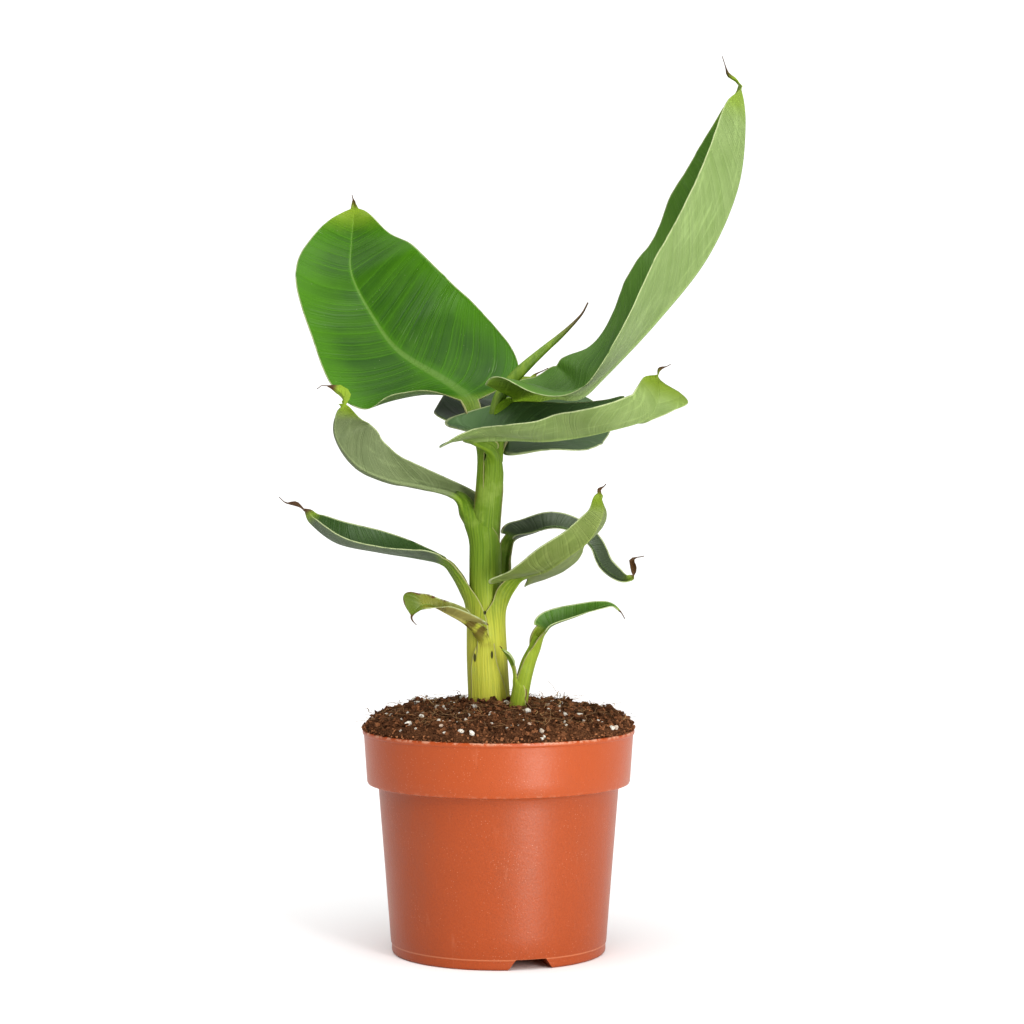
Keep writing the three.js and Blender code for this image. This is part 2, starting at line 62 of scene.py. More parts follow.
POT = {
    "rim_radius": 85, "height": 139.3, "collar_height": 33.7, "collar_foot_radius": 82.2,
    "body_top_radius": 75.3, "foot_radius": 66.9, "wall": 2.2, "bead_height": 3, "bead_depth": 0.8,
}
CHANNEL = {
    "count": 3, "first_angle": -72.6, "foot_width": 28, "roof_width": 19, "height": 6.5,
    "inner_end": 26, "hole_radius": 4.5, "hole_at": 46,
}
TRUNK = {
    "axis": [(-6, 0, 156.6), (-7.4, 0, 182), (-8, 0, 200), (-8.2, 0, 207), (-8.5, 0, 236),
             (-8.3, 0, 258), (-7.6, 0, 270), (-5.2, 0, 300), (-3.6, 0, 320), (-2.6, 0, 334)],
    "radius": [12.1, 11.6, 10.9, 8.3, 7.8, 7.2, 6.8, 6.6, 5.2, 4.6],
}
SUCKER = {
    "axis": [(12.1, -22, 152.4), (14.2, -22, 166), (17, -22, 181), (21, -22, 191), (24, -22, 198.6)],
    "radius": [3.5, 4.4, 3.6, 2.8, 2.4],
}
SPEAR = {
    "axis": [(-2.2, 0, 334.4), (0.4, -2, 345), (6.2, -4, 354), (15, -6, 363.4), (28.8, -8, 376),
             (37, -9, 383), (45, -10, 390.4), (51.6, -11, 397.6), (55.4, -12, 404.6)],
    "radius": [4.3, 4.2, 4.1, 3.9, 2.6, 1.9, 1.2, 0.7, 0.5],
}
CAMERA = {"at": (0.00837, -1.640, 0.315), "pitch": -1.41, "lens": 92.36, "sensor": 36}
STALK_THICKNESS = 3.4
OPENING = 0.16  # the share of its length over which a blade opens out
SHEATH_THICKNESS = 1.4
KINDS = {"clods": 14, "crumbs": 12, "perlite": 6, "fibres": 10}  # how many different shapes of each

# Painted shade: near-black patches for the shadows inside slits in the lower sheaths: centre and half sizes.
SLIT_SHADOWS = (
    ((-14.7, -10.6, 184.4), (1.1, 5, 3.4)), ((-4.1, -12.6, 186.3), (1.0, 5, 3.0)),
    ((-8.5, -12.4, 212.5), (1.2, 5, 1.7)),
)

# Each leaf runs from its sheath, which clasps the stem, up a stalk into the blade and its thread-like tip.
# side places the sheath round the stem, in degrees; clasp gives heights and distances from its axis.
# wrap, width, fold, curl, lobe and droop are given for the half left of the midrib and then for the right.
# cusp is the half width of the curled tip, and stalk_bend is the fold and curl of the stalk.
USUAL_LEAF = dict(stalk_width=(6.4, 6.4), stalk_bend=(25, 60), cusp=0.0, point=0.6, droop=(0, 0))
LEAVES = [
    dict(name="leaf_1_oldest_front_left", look="oldest", side=-93, wrap=[(66, 52, 32, 24), (52, 46, 42, 26)],
         slant=4, clasp=[(153, 12.9), (178, 12.9), (194, 12.9)], stalk=[(-13.5, -16, 200)],
         rib=[(-21, -19, 207), (-32.6, -20, 213.2), (-42.2, -23, 217.9), (-47.7, -26, 217.3),
         (-51.4, -27, 214.2), (-53.4, -27, 211)], thread=[(-52.7, -27, 208.4), (-50.4, -27, 205.9)],
         width=[(8, 8.5, 4, 1.5), (8, 8.5, 8, 7, 6, 6.2, 8.8, 16.5, 0)], lobe=(21, 3),
         fold=[(45, 38, 4)] * 2, curl=[(30, 20, 10)] * 2,
         facing=[(0, -0.1, 1), (0, -0.2, 1), (0, -0.6, 0.8), (-0.1, -1, 0.2), (-0.1, -1, 0.1)]),
    dict(name="leaf_2_low_left", look="low_left", side=180, wrap=[(105, 102, 92), (90, 90, 60)],
         stalk_width=(9, 7), stalk_bend=(14, 62), slant=2, clasp=[(153, 12.3), (184, 11.8), (213, 11.3)],
         stalk=[(-22.6, 0, 224.5), (-28.5, 2, 235.4)], rib=[(-35.5, 3, 242.6), (-52, 7, 246), (-75, 8, 249.4),
         (-101, 6, 255), (-118, 8, 267.4), (-122.6, 8, 276.3)], thread=[(-133.4, 8, 280.1),
         (-137.8, 8, 283.9)], width=[(14.5, 15, 15.5, 13), (11, 14, 15, 14)], cusp=2.6, lobe=(0, 0),
         fold=[(21, 28, 44), (11, 35, 45)], curl=[(16, 26, 30), (13, 28, 30)], facing=[(0.36, -0.1, 0.93),
         (0.2, -0.43, 0.88), (0.6, -0.3, 0.75)]),
    dict(name="leaf_3_low_right_front", look="low_front", side=-15, wrap=[(60, 60, 60), (110, 105, 92)],
         stalk_width=(7, 9), stalk_bend=(14, 62), slant=2, clasp=[(153, 12.7), (184, 12.3), (209, 11.9)],
         stalk=[(4.9, -5.6, 219), (9, -12, 227.6)], rib=[(15, -16.6, 234.7), (29, -26.4, 239.1),
         (41, -38.5, 247.4), (55.4, -46.4, 259), (63, -54.6, 275.3), (61.3, -51.2, 287.2)],
         thread=[(65.1, -54, 292.9)], width=[(22.5, 23.5, 19, 13), (22.5, 22.5, 16, 11)], cusp=1.2, point=1.5,
         lobe=(24, 24), fold=[(-8, 16, 28), (-7, 23, 34)], curl=[(0, 6, 9), (2, 9, 11)],
         facing=[(-0.2, 0.24, 0.95), (-0.3, 0.25, 0.92), (-0.7, 0.7, 0.12)]),
    dict(name="leaf_4_low_right_back", look="low_back", side=74, wrap=[(60, 60, 50)] * 2, slant=8,
         clasp=[(153, 12.3), (190, 11.8), (218, 11.3)], stalk=[(3.8, 13.6, 234), (5.6, 16.6, 246.6)],
         rib=[(9.6, 21, 256.6), (21.5, 25, 261), (34.6, 28, 264.6), (48.3, 33, 261), (58.6, 35, 252.4),
         (66.6, 37, 238.2), (78.6, 40, 230.6), (86, 40, 233.1)], thread=[(85.2, 41, 242.9),
         (92.9, 41, 245.4)], width=[(11.5, 9.6, 8.2, 9.6), (11.5, 11, 10.2, 8.2)], cusp=2.6, lobe=(11, 11),
         fold=[(28, 35, 50), (32, 26, 41)], curl=[(19, 19, 20), (21, 16, 17)], facing=[(-0.2, -0.5, 0.84),
         (0.45, -0.62, 0.65), (0.2, -0.9, 0.4)]),
    dict(name="leaf_5_middle_left", look="middle_left", side=200, wrap=[(160, 160, 160, 150),
         (150, 150, 150, 120)], stalk_width=(12.5, 3.5), stalk_bend=(2, 66), slant=3, clasp=[(196, 9.2),
         (228, 9.2), (246, 9.2), (258, 9.6)], stalk=[(-21.6, -1, 273.6)], rib=[(-27.7, 1, 284.4),
         (-48.6, -7.6, 290.5), (-67, -18.5, 294.5), (-86.5, -22, 303.5), (-99.5, -20, 320),
         (-99.6, -25.8, 334.5), (-94.3, -30.6, 341.5)], thread=[(-95.8, -24, 347.5), (-101.6, -24, 351.8),
         (-108.3, -24, 353), (-111.5, -24, 350.8)], width=[(10, 18, 25, 30), (16, 19, 20, 22)], cusp=4.6,
         point=1.2, lobe=(40, 5), fold=[(78, 48, 47), (58, 25, 60)], curl=[(10, 0, 1), (60, 85, 30)],
         facing=[(-0.26, 0.95, 0.17), (0.13, 0.86, 0.5), (0.47, 0.88, 0.05)]),
    dict(name="leaf_6_back", look="back", side=62, wrap=[(60, 60, 60)] * 2, slant=8,
         clasp=[(226, 7.6), (262, 8.2), (298, 8.6)], stalk=[(0.2, 13, 311)], rib=[(1.4, 30, 322.1),
         (6.6, 41, 328.4), (17, 74.5, 339.8), (21, 110, 350), (22.6, 132, 362)], thread=[(32.7, 138, 368.6)],
         width=[(39, 47, 51.5, 54.5, 55.5, 56, 56), (5.5, 27, 48.3, 54.8, 55.4, 57, 60, 60, 58)], point=2.0,
         lobe=(30, 46), fold=[(22, 7, 6, 0.7, -6, -13, -19),
         (11.6, 5.2, -6.5, -10.2, -13.7, -16, -14.8, -12, -8.5)], curl=[(12, 5, 5), (-8, -7, 8)],
         facing=[(0.03, -0.35, 0.94), (0.08, -0.36, 0.93), (-0.05, -0.57, 0.82)]),
    dict(name="leaf_7_front", look="front", side=-72, wrap=[(100, 100, 100, 88), (100, 100, 96, 84)], slant=8,
         clasp=[(244, 7.2), (262, 7.8), (285, 8.3), (304, 8.3)], stalk=[(-5, -17, 312.5)],
         rib=[(-15, -30, 319.8), (8, -42, 320.5), (27.3, -60.3, 319.3), (47.3, -71.5, 321.2),
         (66, -87, 325.1), (88, -86.6, 332), (94.6, -87, 344.1), (95, -81.4, 358.7)],
         thread=[(102.2, -86, 364.2)],
         width=[(31, 32, 34.5, 37, 37, 36.6, 36.6, 36.6, 39.5, 44, 42, 30, 13, 4, 15, 44, 40),
         (38.5, 34.5, 29.5, 31)], cusp=1.4, point=2.0, droop=(0, 5), lobe=(65, 16),
         fold=[(32, 18, 18, 27, 32, 34, 33, 31, 27, 22, 15, 7, -2, -50, -92, -76, -60), (16, 12, 18, 34, 49)],
         curl=[(5, 17, 17), (-25, 2, 5, 13, 21)], facing=[(-0.24, 0, 0.97), (0.1, -0.05, 0.99),
         (-0.93, -0.04, 0.38)]),
    dict(name="leaf_8_tall_left", look="tall_left", side=170, wrap=[(90, 84, 70), (80, 70, 62)], slant=8,
         clasp=[(244, 7.2), (280, 7.5), (310, 8.2)], stalk=[(-16, 11, 327)], rib=[(-19.6, 22, 345),
         (-32.4, 43.6, 356.4), (-64.8, 62.6, 377.2), (-82.6, 67, 400.9), (-95.6, 69, 427), (-97.2, 92, 449.5),
         (-95.6, 98.2, 472.4)], thread=[(-97.3, 100, 481.6)], width=[(46.5, 54.5, 39, 40),
         (53, 58, 48.5, 37)], cusp=0.8, point=2.6, lobe=(-10, -10), fold=[(-3, 5, 14), (4, 10, 13)],
         curl=[(5, 10, 3), (-3, 2, 3)], facing=[(0.26, -0.65, 0.71), (0.07, -0.95, 0.3), (-0.2, -0.9, 0.4)]),
    dict(name="leaf_9_tall_right", look="tall_right", side=-20, wrap=[(60, 50, 44)] * 2, slant=4,
         clasp=[(306, 6.8), (318, 6.4), (330, 6.2)], stalk=[(5, -3, 339.5)], rib=[(13, 1, 343),
         (33, -8.5, 347), (49.7, -13, 346.4), (65.4, -15, 359.8), (96.5, -24.5, 392.2), (127.4, -23.5, 430.8),
         (146.3, -24, 473), (151.4, -21, 512.6), (148.4, -16, 538.3)], thread=[(141.1, -20, 545.5),
         (137.4, -20, 555.3)], width=[(34, 48, 52, 44), (48.5, 50, 46.5, 46.5)], cusp=2.0, point=1.6,
         lobe=(17, 29), fold=[(44, 24, 25, 27, 15, 20, 30, 39, 45, 45, 45, 45, 44, 43, 42, 41, 39),
         (12, 23, 16, 20, 25, 30, 35, 38, 41)], curl=[(8, -4, 7, 8, 8), (6, 1, 0, 4, 8)], facing=[(0.1, 0, 1),
         (-0.33, -0.28, 0.9), (-0.69, 0.13, 0.71), (-1, 0, 0.1), (-0.9, -0.17, -0.41)]),
]

SUCKER_LEAVES = [
    dict(name="sucker_leaf", look="side_shoot", side=0, wrap=[(150, 140, 110)] * 2, slant=2,
         clasp=[(150, 4.4), (172, 4.5), (188, 4.2)], stalk=[(26, -23, 197)], rib=[(29, -24.6, 201.8),
         (34, -22.4, 206), (47.5, -20, 210.6), (62.8, -19.6, 216.2), (69.6, -18.6, 217.2), (75, -19, 213.8)],
         thread=[(78.2, -19, 209)], width=[(10, 8.5, 5.5, 2.4), (10, 9, 7, 4)], lobe=(5, 5),
         fold=[(41, 39, 16), (35, 31, 19)], curl=[(20, 10, 0), (18, 7, 0)], facing=[(-0.56, -0.66, 0.5),
         (-0.31, -0.53, 0.79), (0.6, -0.3, 0.72)]),
    dict(name="sucker_scale_leaf", look="side_scale", side=200, wrap=[(120, 110, 90)] * 2,
         slant=1, clasp=[(150, 5.0), (160, 5.2), (169, 5.2)], stalk=[(9.4, -24, 176.6)],
         rib=[(8.2, -25, 180.6), (5.4, -27, 186.4), (2.4, -28, 191)], thread=[(0.8, -28.5, 193)],
         width=[(3.4, 3.4, 3, 2)] * 2, lobe=(0, 0), fold=[(40, 40, 20)] * 2,
         curl=[(20, 20, 0)] * 2, facing=[(1, -0.2, 0.6), (0.8, -0.2, 1), (0.6, -0.2, 1)]),
]

# Colours and wear of each leaf, above and under. ripple is the waving of its margins, in millimetres, over a
# wavelength. yellow and brown are where along the blade its tip turns, and glow is how bright the yellow is.
# dry is how much of the leaf has dried, and vein how far its veins lean towards the tip. base is a painted
# glow: a brighter colour, for light shining through, on the underside where the blade starts and on the
# stalk below it, and foot is the colour of the sheath's foot.
USUAL_LOOK = dict(ripple=0.5, dry=0.0, vein=0.35, glow=1.0)
LOOKS = dict(
    oldest=dict(deep=(0.07, 0.068, 0.008), fresh=(0.15, 0.16, 0.022), under=(0.27, 0.245, 0.075),
        under_deep=(0.15, 0.135, 0.04), yellow=0.8, brown=0.97, wave=20, glow=0.45, dry=0.7),
    low_left=dict(deep=(0.014, 0.046, 0.006), fresh=(0.044, 0.085, 0.022), under=(0.11, 0.145, 0.085),
        under_deep=(0.064, 0.085, 0.05), yellow=0.95, brown=0.96, wave=40, vein=0.6, dry=0.05),
    low_front=dict(deep=(0.03, 0.07, 0.012), fresh=(0.06, 0.11, 0.03), under=(0.164, 0.205, 0.06),
        under_deep=(0.115, 0.16, 0.035), yellow=0.93, brown=1.0, wave=36, vein=0.6, glow=0.8, dry=0.03),
    low_back=dict(deep=(0.022, 0.036, 0.017), fresh=(0.055, 0.075, 0.04), under=(0.09, 0.115, 0.065),
        under_deep=(0.05, 0.07, 0.035), yellow=0.985, brown=0.985, wave=30, dry=0.05),
    middle_left=dict(deep=(0.03, 0.07, 0.012), fresh=(0.06, 0.11, 0.03), under=(0.145, 0.178, 0.082),
        under_deep=(0.095, 0.125, 0.05), yellow=0.965, brown=1.13, wave=44, vein=1.3, dry=0.05),
    back=dict(deep=(0.022, 0.052, 0.014), fresh=(0.054, 0.091, 0.037), under=(0.1, 0.135, 0.07),
        under_deep=(0.06, 0.09, 0.04), yellow=0.97, brown=1.02, wave=44, ripple=0.8, vein=0.5, glow=0.85,
        dry=0.03),
    front=dict(deep=(0.034, 0.076, 0.024), fresh=(0.085, 0.145, 0.06), under=(0.195, 0.262, 0.09),
        under_deep=(0.14, 0.2, 0.058), yellow=0.95, brown=1.01, wave=40, ripple=0.7, vein=0.55, glow=0.72),
    tall_left=dict(deep=(0.018, 0.074, 0.001), fresh=(0.05, 0.152, 0.001), under=(0.11, 0.17, 0.06),
        under_deep=(0.07, 0.12, 0.03), yellow=0.985, brown=1.01, wave=50, ripple=0.6),
    tall_right=dict(deep=(0.036, 0.104, 0.005), fresh=(0.08, 0.17, 0.022), under=(0.205, 0.278, 0.105),
        under_deep=(0.15, 0.22, 0.066), base=(0.2, 0.32, 0.022), yellow=0.975, brown=1.03, wave=46,
        ripple=0.8, vein=0.9),
    side_shoot=dict(deep=(0.026, 0.07, 0.004), fresh=(0.05, 0.12, 0.008), under=(0.12, 0.18, 0.04),
        under_deep=(0.08, 0.13, 0.02), foot=(0.24, 0.3, 0.024), yellow=0.99, brown=0.985, wave=20,
        ripple=0.2),
    side_scale=dict(deep=(0.05, 0.11, 0.006), fresh=(0.09, 0.17, 0.012), under=(0.13, 0.19, 0.02),
        under_deep=(0.08, 0.14, 0.012), foot=(0.24, 0.3, 0.024), yellow=0.95, brown=1.05, wave=20,
        ripple=0.0),
)


# ---------------------------------------------------------------- what a user would change

def shade(name, description, default):
    return FloatVectorProperty(name=name, description=description, subtype="COLOR", default=default)


def number(name, description, default, low, high):
    return IntProperty(name=name, description=description, default=default, min=low, max=high)


def amount(name, description, default, low, high):
    return FloatProperty(name=name, description=description, default=default, min=low, max=high)


class PotSettings(bpy.types.PropertyGroup):
    plastic: shade("Plastic", "Colour of the pot", (0.29, 0.055, 0.0105))
    dust: amount("Dust", "How dusty and scuffed the pot is", 0.5, 0, 1)
    segments: number("Segments", "Steps round the pot", 192, 24, 512)


class SoilSettings(bpy.types.PropertyGroup):
    peat: shade("Peat", "Colour of the potting mix", (0.155, 0.068, 0.031))
    clods: number("Clods", "How many clods lie on the mix", 1900, 0, 2400)
    crumbs: number("Crumbs", "How many crumbs lie on the mix", 7600, 0, 8400)
    perlite: number("Perlite", "How many white grains lie among the crumbs", 215, 0, 1000)
    fibres: number("Fibres", "How many roots and fibres lie on the mix", 620, 0, 1000)
    seed: number("Seed", "Seed of the scatter", 7, 0, 9999)


class LeafSettings(bpy.types.PropertyGroup):
    blade_rows: number("Rows", "Rows of faces along a blade", 110, 16, 240)
    half_columns: number("Columns", "Columns of faces on each half of a blade", 26, 6, 60)
    blade: amount("Blade thickness", "Thickness of a blade, in millimetres", 0.5, 0.2, 3)
    stalk: shade("Stalk", "Colour of the stalks", (0.15, 0.235, 0.018))
    midrib: shade("Midrib", "Colour of the midribs from above", (0.13, 0.215, 0.05))
    margin: shade("Margin", "Colour of the thin leaf margins", (0.4, 0.45, 0.24))
    tip: shade("Tip", "Colour of a young blade's tip", (0.2, 0.29, 0.022))


class StemSettings(bpy.types.PropertyGroup):
    foot: shade("Foot", "Colour at the foot of the stem", (0.44, 0.43, 0.055))
    green: shade("Green", "Colour of the stem's upper part", (0.07, 0.145, 0.006))


class StageSettings(bpy.types.PropertyGroup):
    sky: amount("Surround", "Brightness of the light from all round", 0.42, 0, 3)
    key: FloatProperty(name="Key light", description="Power of the tall light at the front right",
                       subtype="POWER", default=24.0, min=0)
    fill: amount("Top light", "Strength of the light from above", 2.3, 0, 20)


# ---------------------------------------------------------------- shaders

def arithmetic(operation, swapped=False):
    """An operator of Wire that adds one Math node."""
    def apply(self, other):
        pair = (other, self) if swapped else (self, other)
        return self.graph.node("ShaderNodeMath", {"operation": operation}, pair)
    return apply


class Wire:
    """A shader socket that carries a number or a colour. Arithmetic on a number adds Math nodes."""

    def __init__(self, graph, socket):
        self.graph = graph
        self.socket = socket

    __add__ = __radd__ = arithmetic("ADD")
    __mul__ = __rmul__ = arithmetic("MULTIPLY")
    __sub__ = arithmetic("SUBTRACT")
    __rsub__ = arithmetic("SUBTRACT", swapped=True)

    def between(self, low, high, start=0.0, end=1.0):
        """Runs smoothly from start to end as the value goes from low to high."""
        inputs = (self, low, high, start, end)
        return self.graph.node("ShaderNodeMapRange", {"interpolation_type": "SMOOTHSTEP"}, inputs)

    def fading(self, low, high):
        return self.between(low, high, 1.0, 0.0)


class Graph:
    """The node tree of a material or of the world."""

    def __init__(self, owner):
        self.owner = owner
        owner.use_nodes = True
        self.tree = owner.node_tree
        self.tree.nodes.clear()

    def node(self, kind, settings, inputs, output=0):
        """Adds a node with its settings, feeds its sockets, and returns one of its outputs."""
        made = self.tree.nodes.new(kind)
        for key, value in settings.items():
            setattr(made, key, value)
        for key, value in inputs.items() if isinstance(inputs, dict) else enumerate(inputs):
            socket = made.inputs[key]
            if isinstance(value, Wire):
                self.tree.links.new(value.socket, socket)
            elif isinstance(value, tuple) and socket.type == "RGBA":
                socket.default_value = (*value, 1.0)
            else:
                socket.default_value = value
        return Wire(self, made.outputs[output]) if made.outputs else None


class Finish(Graph):
    """The nodes of one material, on the object's own coordinates."""

    def __init__(self, name):
        super().__init__(bpy.data.materials.new(name))
        self.place = self.node("ShaderNodeTexCoord", {}, {}, "Object")

    def layer(self, name):
        return self.node("ShaderNodeAttribute", {"attribute_name": name}, {}, "Fac")

    def mix(self, factor, first, second):
        return self.node("ShaderNodeMix", {"data_type": "RGBA"}, {0: factor, 6: first, 7: second}, 2)

    def coated(self, colour, *coats):
        """A colour under coats, each a mask and a colour, from the lowest up."""
        for mask, coat in coats:
            colour = self.mix(mask, colour, coat)
        return colour

    def vector(self, x, y, z):
        return self.node("ShaderNodeCombineXYZ", {}, (x, y, z))

    def vector_maths(self, operation, first, second, output=0):
        return self.node("ShaderNodeVectorMath", {"operation": operation}, {0: first, 1: second}, output)

    def stretched(self, x, y, z):
        return self.vector_maths("MULTIPLY", self.place, (x, y, z))

    def noise(self, scale, detail=2.0, at=None, rough=0.5):
        inputs = {"Vector": at or self.place, "Scale": scale, "Detail": detail, "Roughness": rough}
        return self.node("ShaderNodeTexNoise", {}, inputs)

    def lines(self, along, scale, detail):
        """A one-way pattern: streaks across a measured distance."""
        inputs = {"W": along, "Scale": scale, "Detail": detail}
        return self.node("ShaderNodeTexNoise", {"noise_dimensions": "1D"}, inputs)

    def cells(self, scale):
        return self.node("ShaderNodeTexVoronoi", {}, {"Vector": self.place, "Scale": scale})

    def near(self, centre, size):
        """1 at a point and 0 beyond a distance from it, both in millimetres."""
        away = self.vector_maths("SUBTRACT", self.place, tuple(c * MM for c in centre))
        away = self.vector_maths("DIVIDE", away, tuple(c * MM for c in size))
        return self.vector_maths("LENGTH", away, (0.0, 0.0, 0.0), "Value").fading(0.6, 1.0)

    def height(self):
        """Height above the ground, in metres."""
        return self.node("ShaderNodeSeparateXYZ", {}, (self.place,), "Z")

    def material(self, colour, roughness, relief=None, depth=0.001, specular=0.5):
        sockets = {"Base Color": colour, "Roughness": roughness, "Specular IOR Level": specular}
        if relief is not None:
            bump = {"Strength": 1.0, "Distance": depth, "Height": relief}
            sockets["Normal"] = self.node("ShaderNodeBump", {}, bump)
        shader = self.node("ShaderNodeBsdfPrincipled", {}, sockets)
        self.node("ShaderNodeOutputMaterial", {}, {"Surface": shader})
        return self.owner


def scaled(colour, factor):
    return tuple(min(1.0, c * factor) for c in colour)


def leaf_finish(name, look):
    """Green blade with fine veins, pale underside and margins, and a yellow-green stalk and sheath."""
    settings = bpy.context.scene.banana_leaves
    stem = bpy.context.scene.banana_stem
    fresh, pale = look["fresh"], look["under"]
    g = Finish(name)
    along, run, reach = g.layer("along"), g.layer("run"), g.layer("reach")
    edge, under, ribside = g.layer("edge"), g.layer("underside"), g.layer("ribside")

    patch = g.noise(28, 3)
    vein = run - reach * look["vein"] - reach * reach * 0.0035 + (g.noise(90, 2) - 0.5)
    fine = g.lines(vein, 0.8, 1.0)
    bold = g.lines(vein, 0.15, 1.0)
    threads = g.lines(vein, 0.5, 0.0).between(0.58, 0.68)
    rib = ribside.fading(0.45, 1.15)

    cloudy = patch.between(0.35, 0.75) * 0.55 + bold.between(0.35, 0.65) * 0.25 + fine.between(0.3, 0.7) * 0.2
    speck = g.cells(330).fading(0.04, 0.1) * g.noise(60, 1).between(0.55, 0.65)
    scratch = g.lines(vein, 1.4, 0.0).between(0.72, 0.8) * g.noise(45, 2).between(0.6, 0.7)
    # Painted glow: the upper side is painted lighter within 26 mm of its margins, for light shining through
    # the thin blade.
    upper = g.coated(
        look["deep"], (cloudy, fresh), (threads * 0.3, scaled(fresh, 1.5)),
        (edge.fading(0.0, 26.0) * 0.6, scaled(fresh, 1.3)), (speck * 0.6, (0.3, 0.34, 0.22)),
        (scratch * 0.5, (0.24, 0.3, 0.18)), (rib * 0.85, tuple(settings.midrib)),
        (ribside.between(0.9, 3.0, 0.3, 0.0), scaled(fresh, 1.5)))

    bloom = g.noise(38, 4, rough=0.65)
    cloudy = fine.between(0.3, 0.7) * 0.15 + bold.between(0.3, 0.7) * 0.3 + bloom.between(0.3, 0.7) * 0.55
    powder = g.noise(1.0, 3, g.vector(reach * 0.22, run * 0.03, 5.0), rough=0.6).between(0.5, 0.72)
    lower = g.coated(
        look["under_deep"], (cloudy, pale), (threads * 0.3, scaled(pale, 1.25)),
        (rib * 0.6, scaled(pale, 1.3)), (powder * 0.4, scaled(pale, 1.5)))
    # Painted glow: the underside where the blade starts takes the brighter base colour, for light shining
    # through.
    if "base" in look:
        lower = g.mix(along.fading(0.02, 0.16), lower, look["base"])
    rim = edge.fading(0.3, 1.0) * g.noise(140, 1).between(0.2, 0.5)
    blade = g.coated(upper, (under, lower), (rim * 0.85, tuple(settings.margin)))

    streak = g.noise(1.0, 2, g.vector(reach * 1.1, run * 0.03, under * 3.0))
    hair = g.noise(1.0, 1, g.vector(reach * 3.2, run * 0.02, under * 3.0))
    height = g.height()
    high = height.between(0.18, 0.25)
    scuff = g.noise(75, 3, g.stretched(1, 1, 0.35)).between(0.66, 0.74)
    bark = g.coated(
        look.get("foot", tuple(stem.foot)), (high, tuple(settings.stalk)),
        (streak.between(0.35, 0.65) * 0.65 * (0.45 + high * 0.55), tuple(stem.green)),
        (hair.between(0.58, 0.72) * 0.3, (0.3, 0.36, 0.12)),
        (g.noise(55, 4, rough=0.7).between(0.5, 0.7) * 0.4, (0.27, 0.35, 0.08)),
        (edge.fading(0.15, 0.9) * 0.8, (0.36, 0.34, 0.16)), (scuff * 0.55, (0.11, 0.07, 0.02)))
    # Painted shade: near-black patches where the lower sheaths gap apart.
    for centre, size in SLIT_SHADOWS:
        bark = g.mix(g.near(centre, size) * 0.9, bark, (0.02, 0.02, 0.008))
    # Painted glow: the stalk above 322 mm takes the base colour, lighter still, for light shining through it.
    if "base" in look:
        bark = g.mix(height.between(0.322, 0.335), bark, scaled(look["base"], 1.25))
    if look["dry"] > 0.5:
        withered = height.between(0.188, 0.202) * g.noise(150, 3).between(0.35, 0.6) * 0.85
        bark = g.mix(withered, bark, (0.07, 0.035, 0.01))
    stalk = along.fading(-0.03, 0.05)
    colour = g.mix(stalk, blade, bark)

    ragged = along + (g.noise(120, 2) - 0.5) * 0.03
    yellow, brown = look["yellow"], look["brown"]
    colour = g.mix(ragged.between(yellow - 0.09, yellow + 0.03), colour, scaled(settings.tip, look["glow"]))
    if look["dry"]:
        start = 0.78 - look["dry"] * 0.3
        dried = g.noise(70, 4, rough=0.6) + edge.between(0.5, 4.0, 0.12, -0.12)
        colour = g.mix(dried.between(start, start + 0.08) * (1.0 - stalk), colour, (0.09, 0.045, 0.012))
    colour = g.mix(ragged.between(brown - 0.02, brown + 0.02), colour, (0.075, 0.038, 0.014))

    rough = 0.4 + under * 0.18 + (patch - 0.5) * 0.12 + threads * 0.05
    relief = (fine * 0.25 + bold * 0.5 + threads * 0.25) * (1.0 - stalk) + streak * stalk
    return g.material(colour, rough, relief, 0.0007, 0.22)


def stem_finish(name, foot, green):
    """Smooth lengthwise-streaked stem skin, yellow at the foot."""
    g = Finish(name)
    streak = g.noise(330, 3, g.stretched(1, 1, 0.04))
    scuff = g.noise(80, 3, g.stretched(1, 1, 0.3)).between(0.64, 0.72)
    colour = g.coated(foot, (g.height().between(0.17, 0.25), scaled(green, 1.5)),
                      (streak.between(0.4, 0.7) * 0.6, green), (scuff * 0.6, (0.12, 0.07, 0.02)))
    return g.material(colour, 0.42 + (streak - 0.5) * 0.15, streak, 0.0004, 0.25)


# ---------------------------------------------------------------- making pieces

def smooth(x):
    x = np.clip(x, 0.0, 1.0)
    return x * x * (3 - 2 * x)


def blend(a, b, share):
    return a + (b - a) * share


def mesh_from(bm, name):
    """A mesh in metres from a bmesh in millimetres."""
    bmesh.ops.scale(bm, vec=(MM, MM, MM), verts=bm.verts)
    mesh = bpy.data.meshes.new(name)
    bm.to_mesh(mesh)
    bm.free()
    return mesh


def put(name, data):
    """An object in the scene for a mesh, a light or a camera."""
    made = bpy.data.objects.new(name, data)
    bpy.context.scene.collection.objects.link(made)
    return made


def settle(mesh, name, material, replaced=None, flat=False):
    """Makes a mesh into a finished piece of the object."""
    if not flat:
        mesh.shade_smooth()
    mesh.materials.append(material)
    piece = put(name, mesh)
    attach(piece, "root")
    if replaced:
        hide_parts(replaced)
    return piece


def spun(profile, segments):
    """A closed solid of revolution round Z from a profile that starts and ends on the axis."""
    bm = bmesh.new()
    verts = [bm.verts.new((r, 0, z)) for r, z in profile]
    edges = [bm.edges.new(pair) for pair in zip(verts, verts[1:])]
    bmesh.ops.spin(bm, geom=verts + edges, cent=(0, 0, 0), axis=(0, 0, 1), angle=TAU, steps=segments,
                   use_merge=True)
    bmesh.ops.remove_doubles(bm, verts=bm.verts, dist=1e-5)
    bmesh.ops.recalc_face_normals(bm, faces=bm.faces)
    return bm


def hermite(t, start, leaving, end, arriving):
    return ((2 * t**3 - 3 * t**2 + 1) * start + (t**3 - 2 * t**2 + t) * leaving
            + (-2 * t**3 + 3 * t**2) * end + (t**3 - t**2) * arriving)


